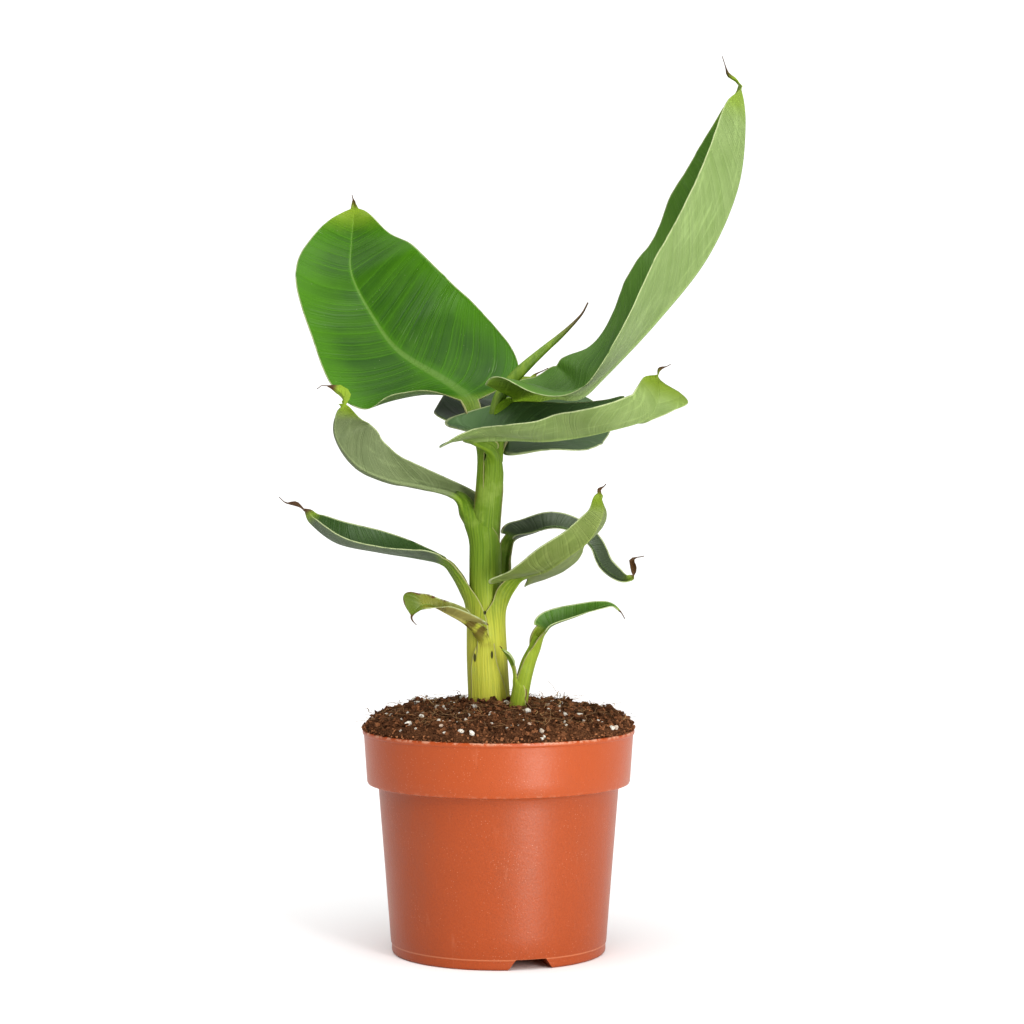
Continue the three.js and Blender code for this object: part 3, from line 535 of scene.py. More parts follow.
def curve_through(points):
    """A smooth line through points, as many small steps, with the length reached at each."""
    p = np.asarray(points, float)
    q = np.vstack([2 * p[0] - p[1], p, 2 * p[-1] - p[-2]])
    t = np.linspace(0, 1, CURVE_STEPS, endpoint=False)[:, None]
    out = []
    for i in range(len(p) - 1):
        m0, m1 = (q[i + 2] - q[i]) / 2, (q[i + 3] - q[i + 1]) / 2
        out.append(hermite(t, q[i + 1], m0, q[i + 2], m1))
    line = np.vstack([*out, p[-1:]])
    length = np.concatenate([[0], np.cumsum(np.linalg.norm(np.diff(line, axis=0), axis=1))])
    return line, length


def on_curve(line, length, at):
    """The places on a line at lengths along it, and the directions there."""
    def place(at):
        return np.stack([np.interp(at, length, line[:, k]) for k in range(3)], 1)

    step = length[-1] * 1e-3
    along = place(at + step) - place(at - step)
    return place(at), along / np.linalg.norm(along, axis=1)[:, None]


def through(values, share):
    """The value at each share, from 0 to 1, of a smooth line through evenly spaced values."""
    v = np.asarray(values, float)
    last = len(v) - 1
    at = np.clip(share, 0, 1) * last
    i = np.minimum(np.floor(at).astype(int), last - 1)
    t = at - i
    if v.ndim > 1:
        t = t[:, None]
    a, b = v[i], v[i + 1]
    m0, m1 = (b - v[np.maximum(i - 1, 0)]) / 2, (v[np.minimum(i + 2, last)] - a) / 2
    return hermite(t, a, m0, b, m1)


def axis_at(limb, height):
    axis = limb["axis"]
    i = max(0, min(len(axis) - 2, next((k for k, p in enumerate(axis) if p[2] > height), 0) - 1))
    share = (height - axis[i][2]) / (axis[i + 1][2] - axis[i][2])
    return blend(np.array(axis[i], float), np.array(axis[i + 1], float), share)


class Limb:
    """A tapering limb's smooth axis, with its place, direction and radius at a share of its points."""

    def __init__(self, limb):
        self.limb = limb
        self.line, self.length = curve_through(limb["axis"])

    def at(self, share):
        step = share * (len(self.limb["axis"]) - 1) * CURVE_STEPS
        station = np.interp(step, np.arange(len(self.line)), self.length)
        place, along = on_curve(self.line, self.length, np.array([station]))
        radius = through(self.limb["radius"], np.array([share]))[0]
        return Vector(place[0]), Vector(along[0]), float(radius)


def across(along, angle):
    """The direction square to a limb at an angle round it."""
    side = Vector((0, 1, 0)).cross(along).normalized()
    front = along.cross(side).normalized()
    return side * math.cos(angle) + front * math.sin(angle)


def limb_piece(name, limb, relief, material, replaced, segments=48, rings=60):
    """A tapering limb with lengthwise ribs, closed at both ends."""
    bm = spun([(0, 0)] + [(1, k / rings) for k in range(rings + 1)] + [(0, 1)], segments)
    limb = Limb(limb)
    for v in bm.verts:
        share = v.co.z
        place, along, radius = limb.at(share)
        angle = math.atan2(v.co.y, v.co.x)
        rough = 1 + relief * noise.noise(Vector((math.cos(angle) * 3, math.sin(angle) * 3, share * 2)))
        radius *= math.hypot(v.co.x, v.co.y)
        v.co = place + across(along if share > 0 else Vector((0, 0, 1)), angle) * radius * rough
    settle(mesh_from(bm, name), name, material, replaced)


# ---------------------------------------------------------------- leaves

def opened(share):
    """How far a blade has opened out from its base."""
    return np.sqrt(1 - (1 - np.clip(share / OPENING, 0, 1)) ** 2)


def leaf_rows(parts, rows):
    """Stations along a leaf as shares of its length: close where it changes most."""
    spans = zip(parts, parts[1:], rows)
    return np.concatenate([*(np.linspace(start, end, n, endpoint=False) for start, end, n in spans), [1.0]])


def unevenness(at, seed, size):
    """Smooth random values along a line of positions, with features of a given size."""
    return np.array([noise.noise(Vector((x / size, seed * 3.1, 1.7))) for x in at])


def steadied(along, stretch, share, reach):
    """Evens out a row of directions over a reach, so that a broad blade doesn't fold where its rib bends."""
    weight = np.exp(-(((stretch[:, None] - stretch[None, :]) / reach) ** 2)) * np.gradient(stretch)[None, :]
    even = weight @ along
    even /= np.linalg.norm(even, axis=1)[:, None]
    out = along + (even - along) * share[:, None]
    return out / np.linalg.norm(out, axis=1)[:, None]


PATTERNS = ("along", "run", "reach", "edge", "ribside")


def leaf_surface(leaf, host, columns, rows, blade_thickness):
    """The leaf's middle surface with its normals, its two sides and pattern layers, by row and column."""
    look = {**USUAL_LOOK, **LOOKS[leaf["look"]]}
    side = math.radians(leaf["side"])
    outward = np.array([math.cos(side), math.sin(side), 0.0])
    clasp = [axis_at(host, z) + outward * r for z, r in leaf["clasp"]]
    points = [*clasp, *leaf["stalk"], *leaf["rib"], *leaf["thread"]]
    line, length = curve_through(points)
    share_at = length / length[-1]
    sheath_end = share_at[CURVE_STEPS * (len(clasp) - 1)]
    blade_start = share_at[CURVE_STEPS * (len(clasp) + len(leaf["stalk"]))]
    blade_end = share_at[CURVE_STEPS * (len(points) - 1 - len(leaf["thread"]))]
    middle = (sheath_end + blade_start) / 2
    blade_long = blade_end - blade_start
    u = leaf_rows((0.0, sheath_end, blade_start, blade_start + 0.12 * blade_long, blade_end, 1.0), rows)
    stretch = u * length[-1]
    centre, along = on_curve(line, length, stretch)
    q = (u - blade_start) / blade_long
    to_stalk = smooth((u - sheath_end * 0.85) / (middle - sheath_end * 0.85))
    to_blade = smooth((u - middle) / (blade_start + 0.06 * blade_long - middle))
    to_thread = smooth((q - 0.96) / 0.04)
    in_thread = np.clip((u - blade_end) / (1 - blade_end), 0, 1)
    cusp = np.sin(math.pi * np.clip(in_thread / 0.7, 0, 1)) ** 1.3

    facing = through(leaf["facing"], q)
    facing /= np.linalg.norm(facing, axis=1)[:, None]
    turn = smooth((u - sheath_end) / (blade_start - sheath_end))[:, None]
    widest = max(max(w) for w in leaf["width"])
    along = steadied(along, stretch, to_blade, widest * 0.3)
    upper = -outward * (1 - turn) + facing * turn
    upper -= along * (upper * along).sum(1)[:, None]
    upper /= np.linalg.norm(upper, axis=1)[:, None]
    right = np.cross(along, upper)

    shape = (len(u), len(columns))
    place, normal = np.zeros((*shape, 3)), np.zeros((*shape, 3))
    layers = {name: np.zeros(shape) for name in ("above", "below", *PATTERNS)}
    veins_at = np.arange(-80, length[-1] + 80, 1.0)
    veins = unevenness(veins_at, leaf["side"], 7.0)
    rib_half = 0.5 + widest / 12 * (1 - np.clip(q, 0, 1)) ** 2.4
    fall = (1 - np.clip((q - 0.6) / 0.4, 0, 1) ** 2.2) ** 0.7
    calm = smooth(q / 0.2) * smooth((0.97 - q) / 0.12)
    in_blade = to_blade * (1 - to_thread)
    for c, t in enumerate(columns):
        half, sign, a = (0, -1, -t) if t < 0 else (1, 1, t)
        wrap = through(leaf["wrap"][half], u / sheath_end)
        stalk_width = min(leaf["stalk_width"][half], max(leaf["width"][half]) * 0.7)
        narrow = blend(leaf["clasp"][1][1] * np.radians(wrap), stalk_width, to_stalk)
        wide = blend(stalk_width, through(leaf["width"][half], q), opened(q))
        wide = wide * fall + leaf["point"] * (1 - fall)
        tip_width = (leaf["point"] - 0.25) * (1 - in_thread) ** 2.5 + 0.25 + leaf["cusp"] * cusp
        w = np.where(q <= 0, narrow, np.where(q >= 1, tip_width, wide))

        def angle(kind, at_sheath):
            lower = blend(at_sheath, leaf["stalk_bend"][kind == "curl"], to_stalk)
            bent = blend(lower, through(leaf[kind][half], q), to_blade)
            return np.radians(bent * (1 - to_thread) + 35 * cusp)

        fold, curl = angle("fold", 0.0), angle("curl", wrap)
        bend = np.where(np.abs(curl) < 1e-3, 1e-3, curl)
        x = w * (np.sin(fold + bend * a) - np.sin(fold)) / bend
        rise = w * (np.cos(fold) - np.cos(fold + bend * a)) / bend
        sweep = -leaf["lobe"][half] * (1 - smooth(q / 0.4)) * opened(q)
        sweep = sweep - leaf["slant"] * to_stalk * (1 - to_blade)
        tilt = fold + curl * a if a > 0 else fold * 0
        point = centre + right * (sign * x)[:, None] + upper * rise[:, None]
        point = point + along * (sweep * a * a)[:, None]
        n = upper * np.cos(tilt)[:, None] - right * (sign * np.sin(tilt))[:, None]
        reach = a * w
        run = stretch + sweep * a * a
        waving = unevenness(stretch, leaf["side"] + half * 5, look["wave"]) * look["ripple"] * 2.2 * a**2.5
        pucker = np.interp(run - reach * 0.32, veins_at, veins) * 0.45 * min(1.0, a * 2) * look["ripple"]
        flare = 0.7 * a**8 * (1 - to_blade)
        droop = leaf["droop"][half] * a**3 * (1 - smooth(q / 0.22)) * opened(q)
        point = point + n * ((waving + pucker) * calm - flare - droop)[:, None]
        sheath = blend(SHEATH_THICKNESS, np.minimum(STALK_THICKNESS, narrow * 0.6), to_stalk)
        thick = blend(sheath * (1 - 0.7 * a * a), blade_thickness, to_blade)
        thick = blend(thick, 0.7 - 0.4 * in_thread, to_thread)
        bulge = np.exp(-(reach / (rib_half * 0.8)) ** 2) * in_blade * rib_half * 0.55
        groove = np.exp(-(reach / (rib_half * 0.55)) ** 2) * in_blade * rib_half * 0.16
        place[:, c], normal[:, c] = point, n
        found = {"above": thick / 2 - groove, "below": -thick / 2 - bulge, "along": q, "run": stretch,
                 "reach": reach, "edge": w - reach, "ribside": reach / rib_half}
        for name, values in found.items():
            layers[name][:, c] = values
    return place, normal, layers


def leaf_piece(leaf, host):
    """One leaf with its sheath and stalk: a flat sheet given a thickness, then laid along its midrib."""
    settings = bpy.context.scene.banana_leaves
    leaf = {**USUAL_LEAF, **leaf}
    size = max(max(w) for w in leaf["width"])
    half_columns = max(6, int(settings.half_columns * min(1.0, 0.35 + size / 40)))
    steps = np.arange(-half_columns, half_columns + 1) / half_columns
    columns = np.sign(steps) * np.abs(steps) ** 1.25
    blade_rows = max(24, int(settings.blade_rows * min(1.0, 0.3 + size / 40)))
    rows = (14, 16, blade_rows // 5, blade_rows, 8)
    place, normal, layers = leaf_surface(leaf, host, columns, rows, settings.blade)

    bm = bmesh.new()
    last_row, last_column = place.shape[0] - 1, place.shape[1] - 1
    bmesh.ops.create_grid(bm, x_segments=last_column, y_segments=last_row, size=1)
    bmesh.ops.solidify(bm, geom=bm.faces, thickness=SKIN)
    floats = {name: bm.verts.layers.float.new(name) for name in (*PATTERNS, "underside")}
    top = max(v.co.z for v in bm.verts)
    for v in bm.verts:
        r = round((v.co.y + 1) / 2 * last_row)
        c = round((v.co.x + 1) / 2 * last_column)
        lower = v.co.z < top - SKIN / 2
        v.co = place[r, c] + normal[r, c] * layers["below" if lower else "above"][r, c]
        for name in PATTERNS:
            v[floats[name]] = layers[name][r, c]
        v[floats["underside"]] = 1.0 if lower else 0.0
    bmesh.ops.recalc_face_normals(bm, faces=bm.faces)
    name = leaf["name"] + "_blade"
    material = leaf_finish(leaf["look"], {**USUAL_LOOK, **LOOKS[leaf["look"]]})
    settle(mesh_from(bm, name), name, material, leaf["name"])


# ---------------------------------------------------------------- small things in numbers

def shape_of(bm):
    """A small shape's corners and triangles, to be set out many times."""
    bmesh.ops.triangulate(bm, faces=bm.faces)
    bm.verts.ensure_lookup_table()
    corners = np.array([v.co[:] for v in bm.verts])
    faces = np.array([[v.index for v in f.verts] for f in bm.faces])
    bm.free()
    return corners, faces


def scattered(name, shapes, places, material, flat=True):
    """One joined mesh with a copy of a shape at each place: (which shape, matrix, tint)."""
    corners, faces, tints, start = [], [], [], 0
    for which, matrix, tint in places:
        co, tri = shapes[which]
        m = np.array(matrix)
        corners.append(co @ m[:3, :3].T + m[:3, 3])
        faces.append(tri + start)
        tints.append(np.full(len(co), tint))
        start += len(co)
    mesh = bpy.data.meshes.new(name)
    mesh.from_pydata(np.concatenate(corners) * MM, [], np.concatenate(faces))
    layer = mesh.attributes.new("tint", "FLOAT", "POINT")
    layer.data.foreach_set("value", np.concatenate(tints).astype(np.float32))
    mesh.update()
    settle(mesh, name, material, flat=flat)


def crumb_shapes(rng, count, roundness, fineness):
    """Lumpy pebbles of unit size."""
    shapes = []
    for _ in range(count):
        bm = bmesh.new()
        if fineness > 1:
            bmesh.ops.create_uvsphere(bm, u_segments=fineness * 4, v_segments=fineness * 3 - 1, radius=1)
        else:
            bmesh.ops.create_icosphere(bm, subdivisions=1, radius=1)
        offset = Vector([rng.random() * 50 for _ in range(3)])
        for v in bm.verts:
            v.co *= roundness + (1 - roundness) * 2 * abs(noise.noise(v.co * 1.3 + offset))
            v.co.z *= 0.75
        shapes.append(shape_of(bm))
    return shapes


def fibre_shapes(rng, count):
    """Thin bent fibres of unit length."""
    shapes = []
    for _ in range(count):
        bm = bmesh.new()
        ring = bmesh.ops.create_circle(bm, cap_ends=False, segments=4, radius=0.012)["verts"]
        edges = list({e for v in ring for e in v.link_edges})
        heading = Vector((0, 0, 1))
        for _ in range(8):
            heading = (heading + Vector([rng.uniform(-0.4, 0.4) for _ in range(3)])).normalized()
            made = bmesh.ops.extrude_edge_only(bm, edges=edges)["geom"]
            ring = [g for g in made if isinstance(g, bmesh.types.BMVert)]
            edges = [g for g in made if isinstance(g, bmesh.types.BMEdge)]
            bmesh.ops.translate(bm, verts=ring, vec=heading * 0.125)
        bmesh.ops.holes_fill(bm, edges=bm.edges)
        bmesh.ops.recalc_face_normals(bm, faces=bm.faces)
        shapes.append(shape_of(bm))
    return shapes


# ---------------------------------------------------------------- pot and soil

def pot_finish():
    """Terracotta-coloured plastic, finely speckled, dusty and scuffed along its lip."""
    settings = bpy.context.scene.banana_pot
    plastic, dusty = tuple(settings.plastic), settings.dust
    g = Finish("terracotta_plastic")
    cloud = g.noise(14, 3)
    mottle = g.noise(900, 3, rough=0.7)
    high = g.height()
    # A pale thin line painted 5.6 to 7 mm above the ground, along the small groove near the foot.
    pale_line_above_foot = high.between(0.0056, 0.0062) * high.fading(0.0064, 0.007)
    grime = g.noise(34, 4, g.stretched(1, 1, 0.5), rough=0.65).between(0.52, 0.7)
    dust = g.cells(520).fading(0.1, 0.2) * g.noise(45, 2).between(0.42, 0.6)
    smear = g.noise(130, 4, g.stretched(1, 1, 0.2), rough=0.65).between(0.62, 0.76)
    lip = high.between(0.137, 0.139) * 0.6 + high.between(0.1045, 0.1052) * high.fading(0.106, 0.108) * 0.15
    dirt = g.cells(480).fading(0.06, 0.13) * g.noise(50, 1).between(0.42, 0.55)
    colour = g.coated(
        plastic, (cloud.between(0.3, 0.7) * 0.4, scaled(plastic, 0.84)),
        (mottle.between(0.35, 0.65) * 0.5, scaled(plastic, 1.22)),
        # Painted light: the collar above the ledge is painted lighter than the body below it, as the more lit
        # part.
        (high.between(0.1045, 0.1065) * 0.6, scaled(plastic, 1.28)), (pale_line_above_foot * 0.5, (0.55, 0.22, 0.11)),
        (grime * 0.3 * dusty, (0.22, 0.07, 0.035)), (dust * 0.6 * dusty, (0.6, 0.3, 0.2)),
        (smear * 0.2 * dusty, (0.6, 0.26, 0.16)),
        (lip * g.noise(160, 4, rough=0.7).between(0.47, 0.6), (0.6, 0.36, 0.25)),
        (dirt * 0.7, (0.07, 0.025, 0.012)))
    rough = 0.31 + (cloud - 0.5) * 0.12 + smear * 0.15 + mottle * 0.08
    return g.material(colour, rough, mottle * 0.6 + g.noise(300, 2) * 0.4, 0.0002, 0.36)


def pot_profile():
    """The pot's outline, from the middle of its underside up over the lip and down to its floor inside."""
    foot, top, collar = POT["foot_radius"], POT["body_top_radius"], POT["collar_foot_radius"]
    rim, wall, height = POT["rim_radius"], POT["wall"], POT["height"]
    ledge = height - POT["collar_height"]
    bead = height - POT["bead_height"]
    under_bead = rim - POT["bead_depth"]
    slope = (top - foot) / ledge
    rise = bead - ledge - 1.4
    return [
        (0, 0), (30, 0), (foot - 1.8, 0), (foot - 0.9, 0.25), (foot - 0.25, 0.9), (foot, 1.9),
        (foot + 0.02, 5.2), (foot + slope * 6 - 0.35, 5.7), (foot + slope * 7, 6.6),
        *((foot + slope * z, z) for z in (20, 40, 60, 80, 96, ledge - 2.2)),
        (top + 0.25, ledge - 0.9), (top + 1.1, ledge - 0.25), (collar - 1.6, ledge - 0.05),
        (collar - 0.5, ledge + 0.35), (collar, ledge + 1.4),
        *((blend(collar, under_bead, k), ledge + 1.4 + rise * k) for k in (0.25, 0.5, 0.75, 0.94)),
        (under_bead + 0.1, bead), (rim - 0.12, bead + 0.5), (rim, bead + 1.2), (rim, height - 0.9),
        (rim - 0.25, height - 0.25), (rim - 0.9, height), (rim - wall + 0.5, height),
        (rim - wall, height - 0.5), (collar - wall, ledge + 2.2), (top - wall, ledge - 1),
        (foot - wall, 9.5), (0, 9.5),
    ]


def channel_cutter():
    """The three drainage channels and their holes as one cutting shape."""
    bm = bmesh.new()
    c = CHANNEL
    for i in range(c["count"]):
        turn = Matrix.Rotation(math.radians(c["first_angle"] + 360 * i / c["count"]), 4, "Z")
        start = bmesh.ops.create_grid(bm, x_segments=1, y_segments=1, size=1)["verts"]
        for v in start:
            low = v.co.x < 0
            width = c["foot_width"] / 2 + 1.2 if low else c["roof_width"] / 2
            v.co = (c["inner_end"], v.co.y * width, -1.5 if low else c["height"])
        face = start[0].link_faces[0]
        made = bmesh.ops.extrude_face_region(bm, geom=[face])["geom"]
        bmesh.ops.translate(bm, verts=[g for g in made if isinstance(g, bmesh.types.BMVert)], vec=(60, 0, 0))
        block = {v for v in bm.verts if not v.tag}
        drill = {"segments": 24, "radius1": c["hole_radius"], "radius2": c["hole_radius"], "depth": 14}
        hole = bmesh.ops.create_cone(bm, cap_ends=True, **drill)["verts"]
        bmesh.ops.translate(bm, verts=hole, vec=(c["hole_at"], 0, c["height"] + 6))
        fresh = [v for v in bm.verts if v in block or v in hole]
        bmesh.ops.transform(bm, matrix=turn, verts=fresh)
        for v in bm.verts:
            v.tag = True
    bmesh.ops.recalc_face_normals(bm, faces=bm.faces)
    return put("channel_cutter", mesh_from(bm, "channel_cutter"))


def soil_height(r, angle):
    """The height of the mix at a distance and angle from the pot's axis, heaped round the stem."""
    share = r / POT["rim_radius"]
    x, y, _ = TRUNK["axis"][0]
    to_stem = math.hypot(r * math.cos(angle) - x, r * math.sin(angle) - y) / 18
    dome = POT["height"] + 3.4 + 11 * max(0.0, 1 - share**2) ** 0.8
    lumps = (math.sin(3 * angle + 9 * share) + math.sin(5 * angle - 14 * share)) * share * 0.9
    return dome + 4.4 * math.exp(-(to_stem**2)) + lumps


def clod_height(r, angle):
    """The height of the mix's rough top, with its clods, over its general heap."""
    at = Vector((r * math.cos(angle), r * math.sin(angle), 0))
    clods = noise.fractal(at * 0.13, 0.9, 2.0, 4) * 3.2 + noise.noise(at * 0.5) * 0.7
    at_rim = min(1.0, (POT["rim_radius"] - r) / 9)
    return soil_height(r, angle) + blend(-2.2, 1.2, at_rim) + clods * blend(0.35, 1.0, at_rim)


class BANANA_OT_pot(bpy.types.Operator):
    """Build the round nursery pot with its deep collar and drainage channels"""

    bl_idname = "banana.pot"
    bl_label = "Pot"

    def execute(self, context):
        shell = mesh_from(spun(pot_profile(), context.scene.banana_pot.segments), "pot_shell")
        piece = settle(shell, "pot_shell", pot_finish(), "pot")
        cutter = channel_cutter()
        cut = piece.modifiers.new("channels", "BOOLEAN")
        cut.operation = "DIFFERENCE"
        cut.solver = "EXACT"
        cut.object = cutter
        context.view_layer.update()
        shaped = bpy.data.meshes.new_from_object(piece.evaluated_get(context.evaluated_depsgraph_get()))
        piece.modifiers.clear()
        piece.data = shaped
        bpy.data.objects.remove(cutter)
        smooth_by_angle(shaped, 40)
        return {"FINISHED"}


def smooth_by_angle(mesh, degrees):
    """Marks the edges sharper than an angle, and smooths the rest."""
    mesh.shade_smooth()
    bm = bmesh.new()
    bm.from_mesh(mesh)
    for e in bm.edges:
        e.smooth = len(e.link_faces) == 2 and e.calc_face_angle(0) < math.radians(degrees)
    bm.to_mesh(mesh)
    bm.free()


class BANANA_OT_soil(bpy.types.Operator):
    """Fill the pot with crumbly peat, white perlite grains and loose fibres"""

    bl_idname = "banana.soil"
    bl_label = "Potting mix"

    def execute(self, context):
        settings = context.scene.banana_soil
        rng = random.Random(settings.seed)
        peat = tuple(settings.peat)
        self.mound(peat)
        self.peat(settings, rng, peat)
        self.perlite(settings, rng)
        self.fibres(settings, rng)
        return {"FINISHED"}

    def mound(self, peat):
        inner = POT["rim_radius"] - 1.0
        rows = [(inner * k / 90, 0.0) for k in range(91)]
        wall = [(POT["rim_radius"] - POT["wall"] - 0.4, -2.0), (POT["body_top_radius"] - 3, -40),
                (POT["foot_radius"] - 3, -129), (0, -129)]
        bm = spun([*rows, *wall], 240)
        for v in bm.verts:
            r, angle = math.hypot(v.co.x, v.co.y), math.atan2(v.co.y, v.co.x)
            if v.co.z > -1:
                v.co.z = clod_height(r, angle)
            else:
                v.co.z += POT["height"]
        g = Finish("peat_bed")
        speckle = g.noise(900, 4, rough=0.7)
        colour = g.mix(speckle.between(0.3, 0.7), scaled(peat, 0.35), peat)
        material = g.material(colour, 0.95 + (speckle - 0.5) * 0.05, speckle, 0.0015, 0.1)
        settle(mesh_from(bm, "peat_bed"), "peat_bed", material, "soil")

    def somewhere(self, rng, spread=1.0):
        r = (POT["rim_radius"] - 1.8) * math.sqrt(rng.random()) * spread
        return r, rng.random() * TAU

    def placed(self, rng, r, angle, z, size, tint, kind):
        at = Matrix.Translation((r * math.cos(angle), r * math.sin(angle), z))
        turn = Matrix.Rotation(rng.random() * TAU, 4, "Z") @ Matrix.Rotation(rng.random() * 1.2, 4, "X")
        stretch = Matrix.Diagonal((size * rng.uniform(0.8, 1.4), size * rng.uniform(0.8, 1.2), size, 1))
        return (rng.randrange(KINDS[kind]), at @ turn @ stretch, tint)

    def sprinkled(self, rng, count, size_of, sunk, tint, kind):
        """Grains lying on the mix, each sunk or raised by a share of its size."""
        places = []
        for _ in range(count):
            r, angle = self.somewhere(rng)
            size = size_of()
            z = clod_height(r, angle) + size * rng.uniform(*sunk)
            places.append(self.placed(rng, r, angle, z, size, rng.random() * tint, kind))
        return places

    def peat(self, settings, rng, peat):
        g = Finish("peat_crumbs")
        tint = g.layer("tint")
        grain = g.noise(1500, 3, rough=0.7)
        colour = g.coated(scaled(peat, 0.4), (tint * tint, scaled(peat, 3.0)),
                          (grain.between(0.35, 0.75) * 0.5, scaled(peat, 0.5)))
        brown = g.material(colour, 0.85 + grain * 0.1, grain, 0.0008, 0.12)
        clods = self.sprinkled(rng, settings.clods, lambda: rng.uniform(1.4, 3.2), (-0.3, 0.35), 0.8, "clods")
        crumbs = self.sprinkled(rng, settings.crumbs, lambda: 0.5 + 1.2 * rng.random() ** 2, (-0.3, 0.9),
                                1, "crumbs")
        for _ in range(settings.crumbs // 6):
            size = rng.uniform(0.4, 1.3)
            r = POT["rim_radius"] - 0.2 - rng.random() ** 1.5 * 3.2
            z = POT["height"] + size * 0.4 + rng.random() ** 2 * 2.6
            crumbs.append(self.placed(rng, r, rng.random() * TAU, z, size, rng.random(), "crumbs"))
        scattered("peat_clods", crumb_shapes(rng, KINDS["clods"], 0.35, 2), clods, brown)
        scattered("peat_crumbs", crumb_shapes(rng, KINDS["crumbs"], 0.4, 1), crumbs, brown)

    def perlite(self, settings, rng):
        g = Finish("perlite")
        pore = g.noise(1800, 3)
        colour = g.coated((0.68, 0.66, 0.6), (pore.between(0.4, 0.7), (0.4, 0.35, 0.28)),
                          (g.layer("tint").between(0.5, 1.0) * 0.75, (0.3, 0.17, 0.09)))
        white = g.material(colour, 0.8 + pore * 0.1, pore, 0.0006)
        grains = self.sprinkled(rng, settings.perlite, lambda: 0.5 + 2.1 * rng.random() ** 1.9, (0.1, 0.7),
                                1, "perlite")
        scattered("perlite_grains", crumb_shapes(rng, KINDS["perlite"], 0.7, 2), grains, white)

    def fibres(self, settings, rng):
        g = Finish("fibres")
        colour = g.mix(g.layer("tint"), (0.05, 0.022, 0.01), (0.4, 0.24, 0.1))
        straw = g.material(colour, 0.7 + g.noise(400) * 0.1)
        places = []
        for k in range(settings.fibres):
            r, angle = self.somewhere(rng, 0.98)
            long = rng.uniform(4, 15)
            thick = rng.uniform(12, 26)
            rise = rng.uniform(0.3, 1.1) if k % 60 == 0 else rng.uniform(1.35, 1.75)
            lean = Matrix.Rotation(rng.random() * TAU, 4, "Z") @ Matrix.Rotation(rise, 4, "Y")
            settled = Matrix.Diagonal((1, 1, 0.3 if rise > 1.2 else 1, 1))
            z = clod_height(r, angle) + rng.uniform(1.4, 3.4)
            at = Matrix.Translation((r * math.cos(angle), r * math.sin(angle), z))
            matrix = at @ settled @ lean @ Matrix.Diagonal((thick, thick, long, 1))
            places.append((rng.randrange(KINDS["fibres"]), matrix, rng.random()))
        scattered("peat_fibres", fibre_shapes(rng, KINDS["fibres"]), places, straw, flat=False)


class BANANA_OT_stem(bpy.types.Operator):
    """Grow the main stem and the side shoot's stem"""

    bl_idname = "banana.stem"
    bl_label = "Stems"

    def execute(self, context):
        settings = context.scene.banana_stem
        skin = stem_finish("stem_skin", tuple(settings.foot), tuple(settings.green))
        limb_piece("stem_core", TRUNK, 0.05, skin, "pseudostem")
        shoot = stem_finish("side_shoot_skin", (0.22, 0.29, 0.022), (0.13, 0.22, 0.014))
        limb_piece("side_shoot_stem", SUCKER, 0.06, shoot, "sucker_stem", 32, 40)
        return {"FINISHED"}


class BANANA_OT_spear(bpy.types.Operator):
    """Roll the unopened leaf that stands up out of the stem"""

    bl_idname = "banana.spear"
    bl_label = "Spear leaf"

    def execute(self, context):
        turns, rows, columns = 1.35, 90, 44
        limb = Limb(SPEAR)
        bm = bmesh.new()
        bmesh.ops.create_grid(bm, x_segments=columns, y_segments=rows, size=1)
        bmesh.ops.solidify(bm, geom=bm.faces, thickness=SKIN)
        top = max(v.co.z for v in bm.verts)
        for v in bm.verts:
            share, wound = (v.co.y + 1) / 2, (v.co.x + 1) / 2
            sunk = 0.35 if v.co.z < top - SKIN / 2 else 0.0
            place, along, radius = limb.at(share)
            out = radius * (0.8 + 0.2 * wound) - sunk * min(1.0, radius / 2)
            v.co = place + across(along, TAU * turns * wound + 2.6 + share * 2.2) * out
        bmesh.ops.recalc_face_normals(bm, faces=bm.faces)
        g = Finish("spear_skin")
        streak = g.noise(260, 3, g.stretched(1, 1, 0.25))
        colour = g.coated((0.12, 0.21, 0.02), (streak.between(0.35, 0.7), (0.2, 0.3, 0.03)),
                          (g.height().between(0.378, 0.398), (0.12, 0.07, 0.03)))
        skin = g.material(colour, 0.45 + (streak - 0.5) * 0.1, streak, 0.0003)
        settle(mesh_from(bm, "spear_roll"), "spear_roll", skin, "spear_leaf")
        return {"FINISHED"}


class BANANA_OT_leaves(bpy.types.Operator):
    """Lay out the plant's leaves, from the oldest at the foot to the youngest"""

    bl_idname = "banana.leaves"
    bl_label = "Leaves"

    def execute(self, context):
        for leaf in LEAVES:
            leaf_piece(leaf, TRUNK)
        return {"FINISHED"}


class BANANA_OT_side_shoot(bpy.types.Operator):
    """Lay out the side shoot's two leaves"""

    bl_idname = "banana.side_shoot"
    bl_label = "Side shoot's leaves"

    def execute(self, context):
        for leaf in SUCKER_LEAVES:
            leaf_piece(leaf, SUCKER)
        return {"FINISHED"}


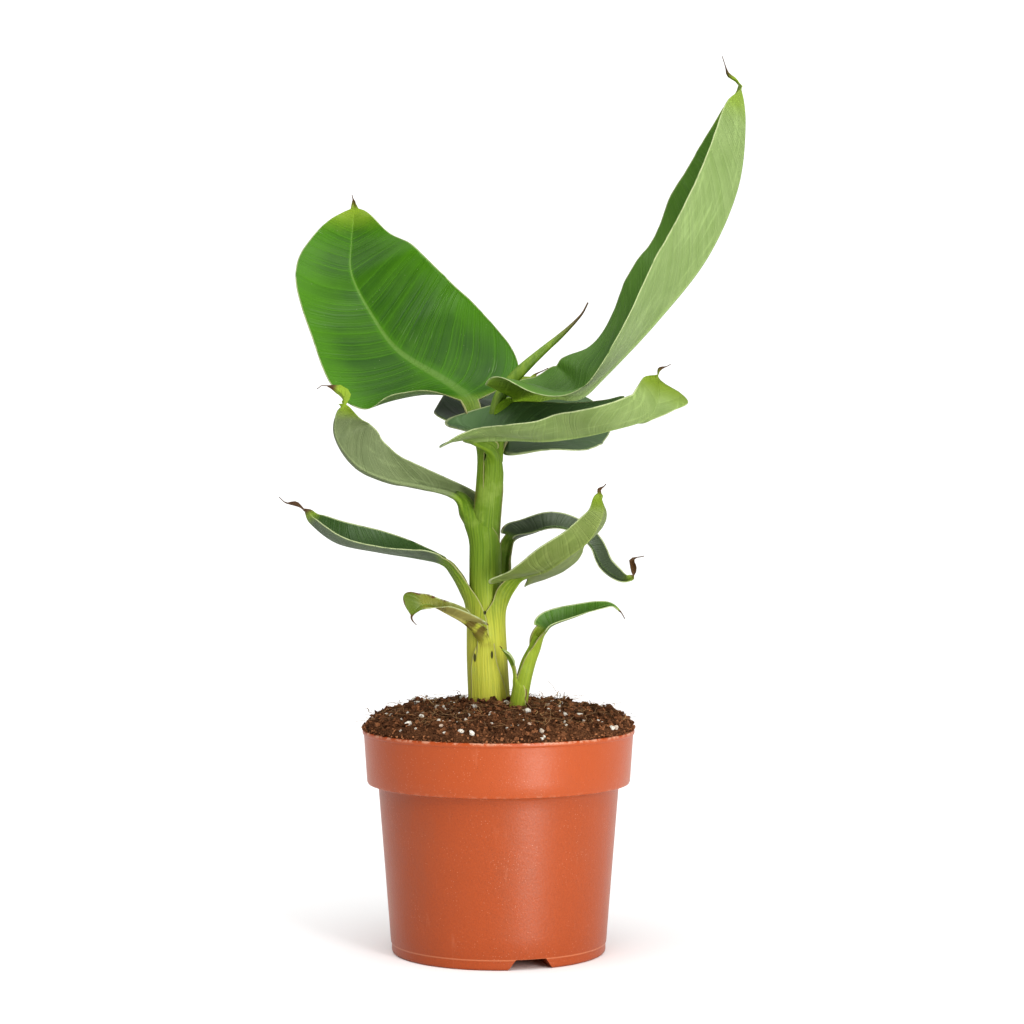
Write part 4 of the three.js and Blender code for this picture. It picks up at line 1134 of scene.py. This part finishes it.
class BANANA_OT_stage(bpy.types.Operator):
    """Set the white floor, the soft lights and the camera"""

    bl_idname = "banana.stage"
    bl_label = "Stage"

    def execute(self, context):
        settings = context.scene.banana_stage
        scene = context.scene
        scene.view_settings.view_transform = "Standard"
        scene.view_settings.look = "Medium High Contrast"
        bm = bmesh.new()
        bmesh.ops.create_circle(bm, cap_ends=True, segments=96, radius=6 / MM)
        floor = put("floor", mesh_from(bm, "floor"))
        floor.data.materials.append(Finish("floor").material((0.88, 0.88, 0.88), 0.9))
        floor.visible_shadow = False

        scene.world = self.surround(settings.sky)
        tall = {"shape": "RECTANGLE", "size": 0.42, "size_y": 1.5}
        self.lamp("key", "AREA", (0.86, -1.42, 0.3), settings.key, tall)
        self.lamp("overhead", "SUN", (-0.1, -0.5, 1.9), settings.fill, {"angle": math.radians(85)})

        camera = put("camera", bpy.data.cameras.new("camera"))
        camera.data.sensor_width = CAMERA["sensor"]
        camera.data.lens = CAMERA["lens"]
        camera.location = CAMERA["at"]
        camera.rotation_euler = (math.radians(90 + CAMERA["pitch"]), 0, 0)
        scene.camera = camera
        return {"FINISHED"}

    def surround(self, strength):
        """A white backdrop that lights the plant with a share of its brightness."""
        g = Graph(bpy.data.worlds.new("surround"))
        ambient, white = (g.node("ShaderNodeBackground", {}, {"Color": (1, 1, 1), "Strength": light})
                          for light in (strength, 1.0))
        seen = g.node("ShaderNodeLightPath", {}, {}, "Is Camera Ray")
        g.node("ShaderNodeOutputWorld", {}, (g.node("ShaderNodeMixShader", {}, (seen, ambient, white)),))
        return g.owner

    def lamp(self, name, kind, at, power, settings):
        """A light that shines on the foot of the plant."""
        light = bpy.data.lights.new(name, kind)
        light.energy = power
        for key, value in settings.items():
            setattr(light, key, value)
        lamp = put(name, light)
        lamp.visible_camera = False
        lamp.location = at
        lamp.rotation_euler = (Vector((0, 0, 0.2)) - Vector(at)).to_track_quat("-Z", "Y").to_euler()


class BANANA_PT_panel(bpy.types.Panel):
    """Lists the plant's pieces"""

    bl_idname = "BANANA_PT_panel"
    bl_label = "Potted Banana Plant"
    bl_space_type = "VIEW_3D"
    bl_region_type = "UI"
    bl_category = "Banana"

    def draw(self, context):
        for group, operators in GROUPS:
            box = self.layout.box()
            settings = getattr(context.scene, group)
            for name in settings.__annotations__:
                box.prop(settings, name)
            for operator in operators:
                box.operator(operator.bl_idname)


GROUPS = (
    ("banana_stage", (BANANA_OT_stage,)),
    ("banana_pot", (BANANA_OT_pot,)),
    ("banana_soil", (BANANA_OT_soil,)),
    ("banana_stem", (BANANA_OT_stem, BANANA_OT_spear)),
    ("banana_leaves", (BANANA_OT_leaves, BANANA_OT_side_shoot)),
)
SETTINGS = {
    "banana_stage": StageSettings, "banana_pot": PotSettings, "banana_soil": SoilSettings,
    "banana_stem": StemSettings, "banana_leaves": LeafSettings,
}
CLASSES = (*SETTINGS.values(), *(op for _, ops in GROUPS for op in ops), BANANA_PT_panel)


def register():
    for cls in CLASSES:
        bpy.utils.register_class(cls)
    for name, cls in SETTINGS.items():
        setattr(bpy.types.Scene, name, PointerProperty(type=cls))


def unregister():
    for name in SETTINGS:
        delattr(bpy.types.Scene, name)
    for cls in reversed(CLASSES):
        bpy.utils.unregister_class(cls)


def main():
    register()
    for name in ("stage", "pot", "soil", "stem", "spear", "leaves", "side_shoot"):
        getattr(bpy.ops.banana, name)()


if __name__ == "__main__":
    main()
